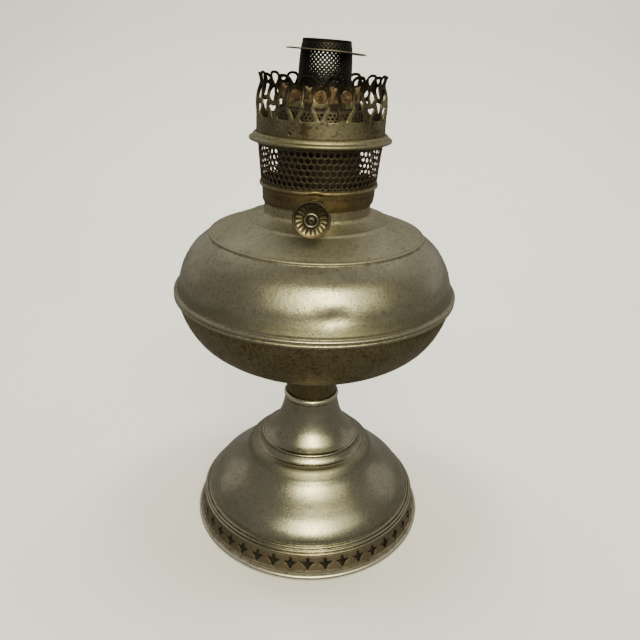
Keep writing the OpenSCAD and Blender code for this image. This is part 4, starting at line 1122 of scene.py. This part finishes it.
# ------------------------------------------------------------------ CAD nodes that stay, with their own finish
keep = {
    "draft_tube": inner_mat, "filler_neck": inner_mat, "burner_washer": leather_mat, "filler_washer": leather_mat,
    "burner_floor": lining_mat, "outer_wick_tube": deep_mat, "rack_guide": deep_mat, "shaft_packing": leather_mat,
    "wick_carrier": inner_mat, "carrier_arm": inner_mat, "rack": inner_mat, "raiser_shaft": steel_mat, "pinion": inner_mat,
    "spreader_base": steel_mat,
}
for node_name, mat in keep.items():
    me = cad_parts[node_name].data
    me.materials.clear()
    me.materials.append(mat)

# ------------------------------------------------------------------ stage
def stage_material(name, col):
    m = Mat(name)
    n = m.noise(3, 3, 0.5)
    f = m.noise(60, 3, 0.6)
    c = m.mix(m.step(n, 0.3, 0.7), tuple(0.97 * x for x in col), col)
    # painted shade: the table inside the foot is painted dark, as it lies in the dark
    x, y, z = m.xyz()
    rad = m.math("SQRT", m.math("ADD", m.math("MULTIPLY", x, x), m.math("MULTIPLY", y, y)))
    c = m.mix(m.math("MULTIPLY", m.step(rad, 0.0722, 0.0712), 0.97), c, (0.055, 0.050, 0.040))
    return m.finish(c, m.math("ADD", 0.72, m.math("MULTIPLY", f, 0.1)), 0.0)


paper = stage_material("pale_paper", (0.74, 0.73, 0.69))
bm = bmesh.new()
# a pale floor that turns up into a wall behind the lamp
W, D0, D1, H, RAD = 3.0, -3.0, 0.75, 2.4, 0.35
line_pts = [(D0, 0.0), (D1 - RAD, 0.0)] + [(D1 - RAD + RAD * math.sin(t), RAD - RAD * math.cos(t)) for t in np.linspace(0, math.pi / 2, 16)[1:]] + [(D1, H)]
rows = [[bm.verts.new((x, y, z)) for x in np.linspace(-W, W, 9)] for y, z in line_pts]
for r0, r1 in zip(rows[:-1], rows[1:]):
    for k in range(8):
        bm.faces.new((r0[k], r0[k + 1], r1[k + 1], r1[k]))
me = bpy.data.meshes.new("floor")
bm.to_mesh(me)
bm.free()
me.shade_smooth()
me.materials.append(paper)
floor = bpy.data.objects.new("floor", me)
bpy.context.scene.collection.objects.link(floor)
floor.visible_glossy = False  # the metal mirrors a dim warm room instead of the paper

world = bpy.data.worlds.new("studio")
bpy.context.scene.world = world
world.use_nodes = True
world.node_tree.nodes["Background"].inputs[0].default_value = (1.0, 0.955, 0.82, 1)
world.node_tree.nodes["Background"].inputs[1].default_value = 0.235


def softbox(name, az, el, dist, w, h, power, target=(0, 0, 0.15), color=(1, 0.97, 0.9), spread=180):
    light = bpy.data.lights.new(name, "AREA")
    light.shape = "RECTANGLE"
    light.size, light.size_y = w, h
    light.energy = power
    light.color = color
    light.spread = math.radians(spread)
    ob = bpy.data.objects.new(name, light)
    a, e = math.radians(az), math.radians(el)
    ob.location = Vector(target) + dist * Vector((math.sin(a) * math.cos(e), -math.cos(a) * math.cos(e), math.sin(e)))
    ob.rotation_mode = "QUATERNION"
    ob.rotation_quaternion = (Vector(target) - ob.location).to_track_quat("-Z", "Y")
    bpy.context.scene.collection.objects.link(ob)
    ob.visible_camera = False
    return ob


KEY = (1, 0.958, 0.60)
softbox("key_mid", 9.5, 36.9, 1.5, 0.395, 0.72, 12.5, color=KEY)
softbox("key_right", 24, 36.9, 1.5, 0.37, 0.72, 5.2, color=KEY)
softbox("key_far_right", 40, 36.9, 1.5, 0.475, 0.72, 1.9, color=KEY)
softbox("key_right_edge", 56, 36.9, 1.5, 0.37, 0.72, 0.7, color=KEY)
softbox("key_left", -6, 36.9, 1.5, 0.42, 0.72, 4.6, color=KEY)
softbox("key_far_left", -21, 36.9, 1.5, 0.37, 0.72, 1.1, color=KEY)
softbox("side_left", -128, 28, 0.8, 0.72, 0.8, 0.40, color=(1, 0.98, 0.86))
softbox("side_right", 128, 28, 0.8, 0.72, 0.8, 0.40, color=(1, 0.98, 0.86))
softbox("top_back", 180, 64, 0.85, 1.3, 0.7, 1.15, color=(1, 0.98, 0.86))
for side in (-1, 1):
    lamp = softbox("wall_light", 45 * side, 62, 1.7, 0.8, 0.5, 12, target=(0, 0.72, 0.35), color=(1, 0.98, 0.95), spread=120)
    lamp.visible_glossy = False

# ------------------------------------------------------------------ camera, fitted to the photo
PITCH, ROLL, SWING = math.radians(23.79), math.radians(2.11), math.radians(1.91)
fwd = Vector((0, math.cos(PITCH), -math.sin(PITCH)))
up = Vector((0, math.sin(PITCH), math.cos(PITCH)))
right = Vector((1, 0, 0))
r_axis = right * math.cos(ROLL) + up * math.sin(ROLL)
u_axis = -right * math.sin(ROLL) + up * math.cos(ROLL)
rot = Matrix.Rotation(SWING, 3, "Z")
r_axis, u_axis, fwd = rot @ r_axis, rot @ u_axis, rot @ fwd
where = rot @ Vector((0.0039, -0.343, 0.28795))
cam = bpy.data.cameras.new("camera")
cam.sensor_width = 36
cam.lens = 607.4 * 36 / 640
cam.clip_start, cam.clip_end = 0.01, 20
camera = bpy.data.objects.new("camera", cam)
m3 = Matrix((r_axis, u_axis, -fwd)).transposed()
camera.matrix_world = Matrix.Translation(where) @ m3.to_4x4()
bpy.context.scene.collection.objects.link(camera)
bpy.context.scene.camera = camera

bpy.context.view_layer.update()
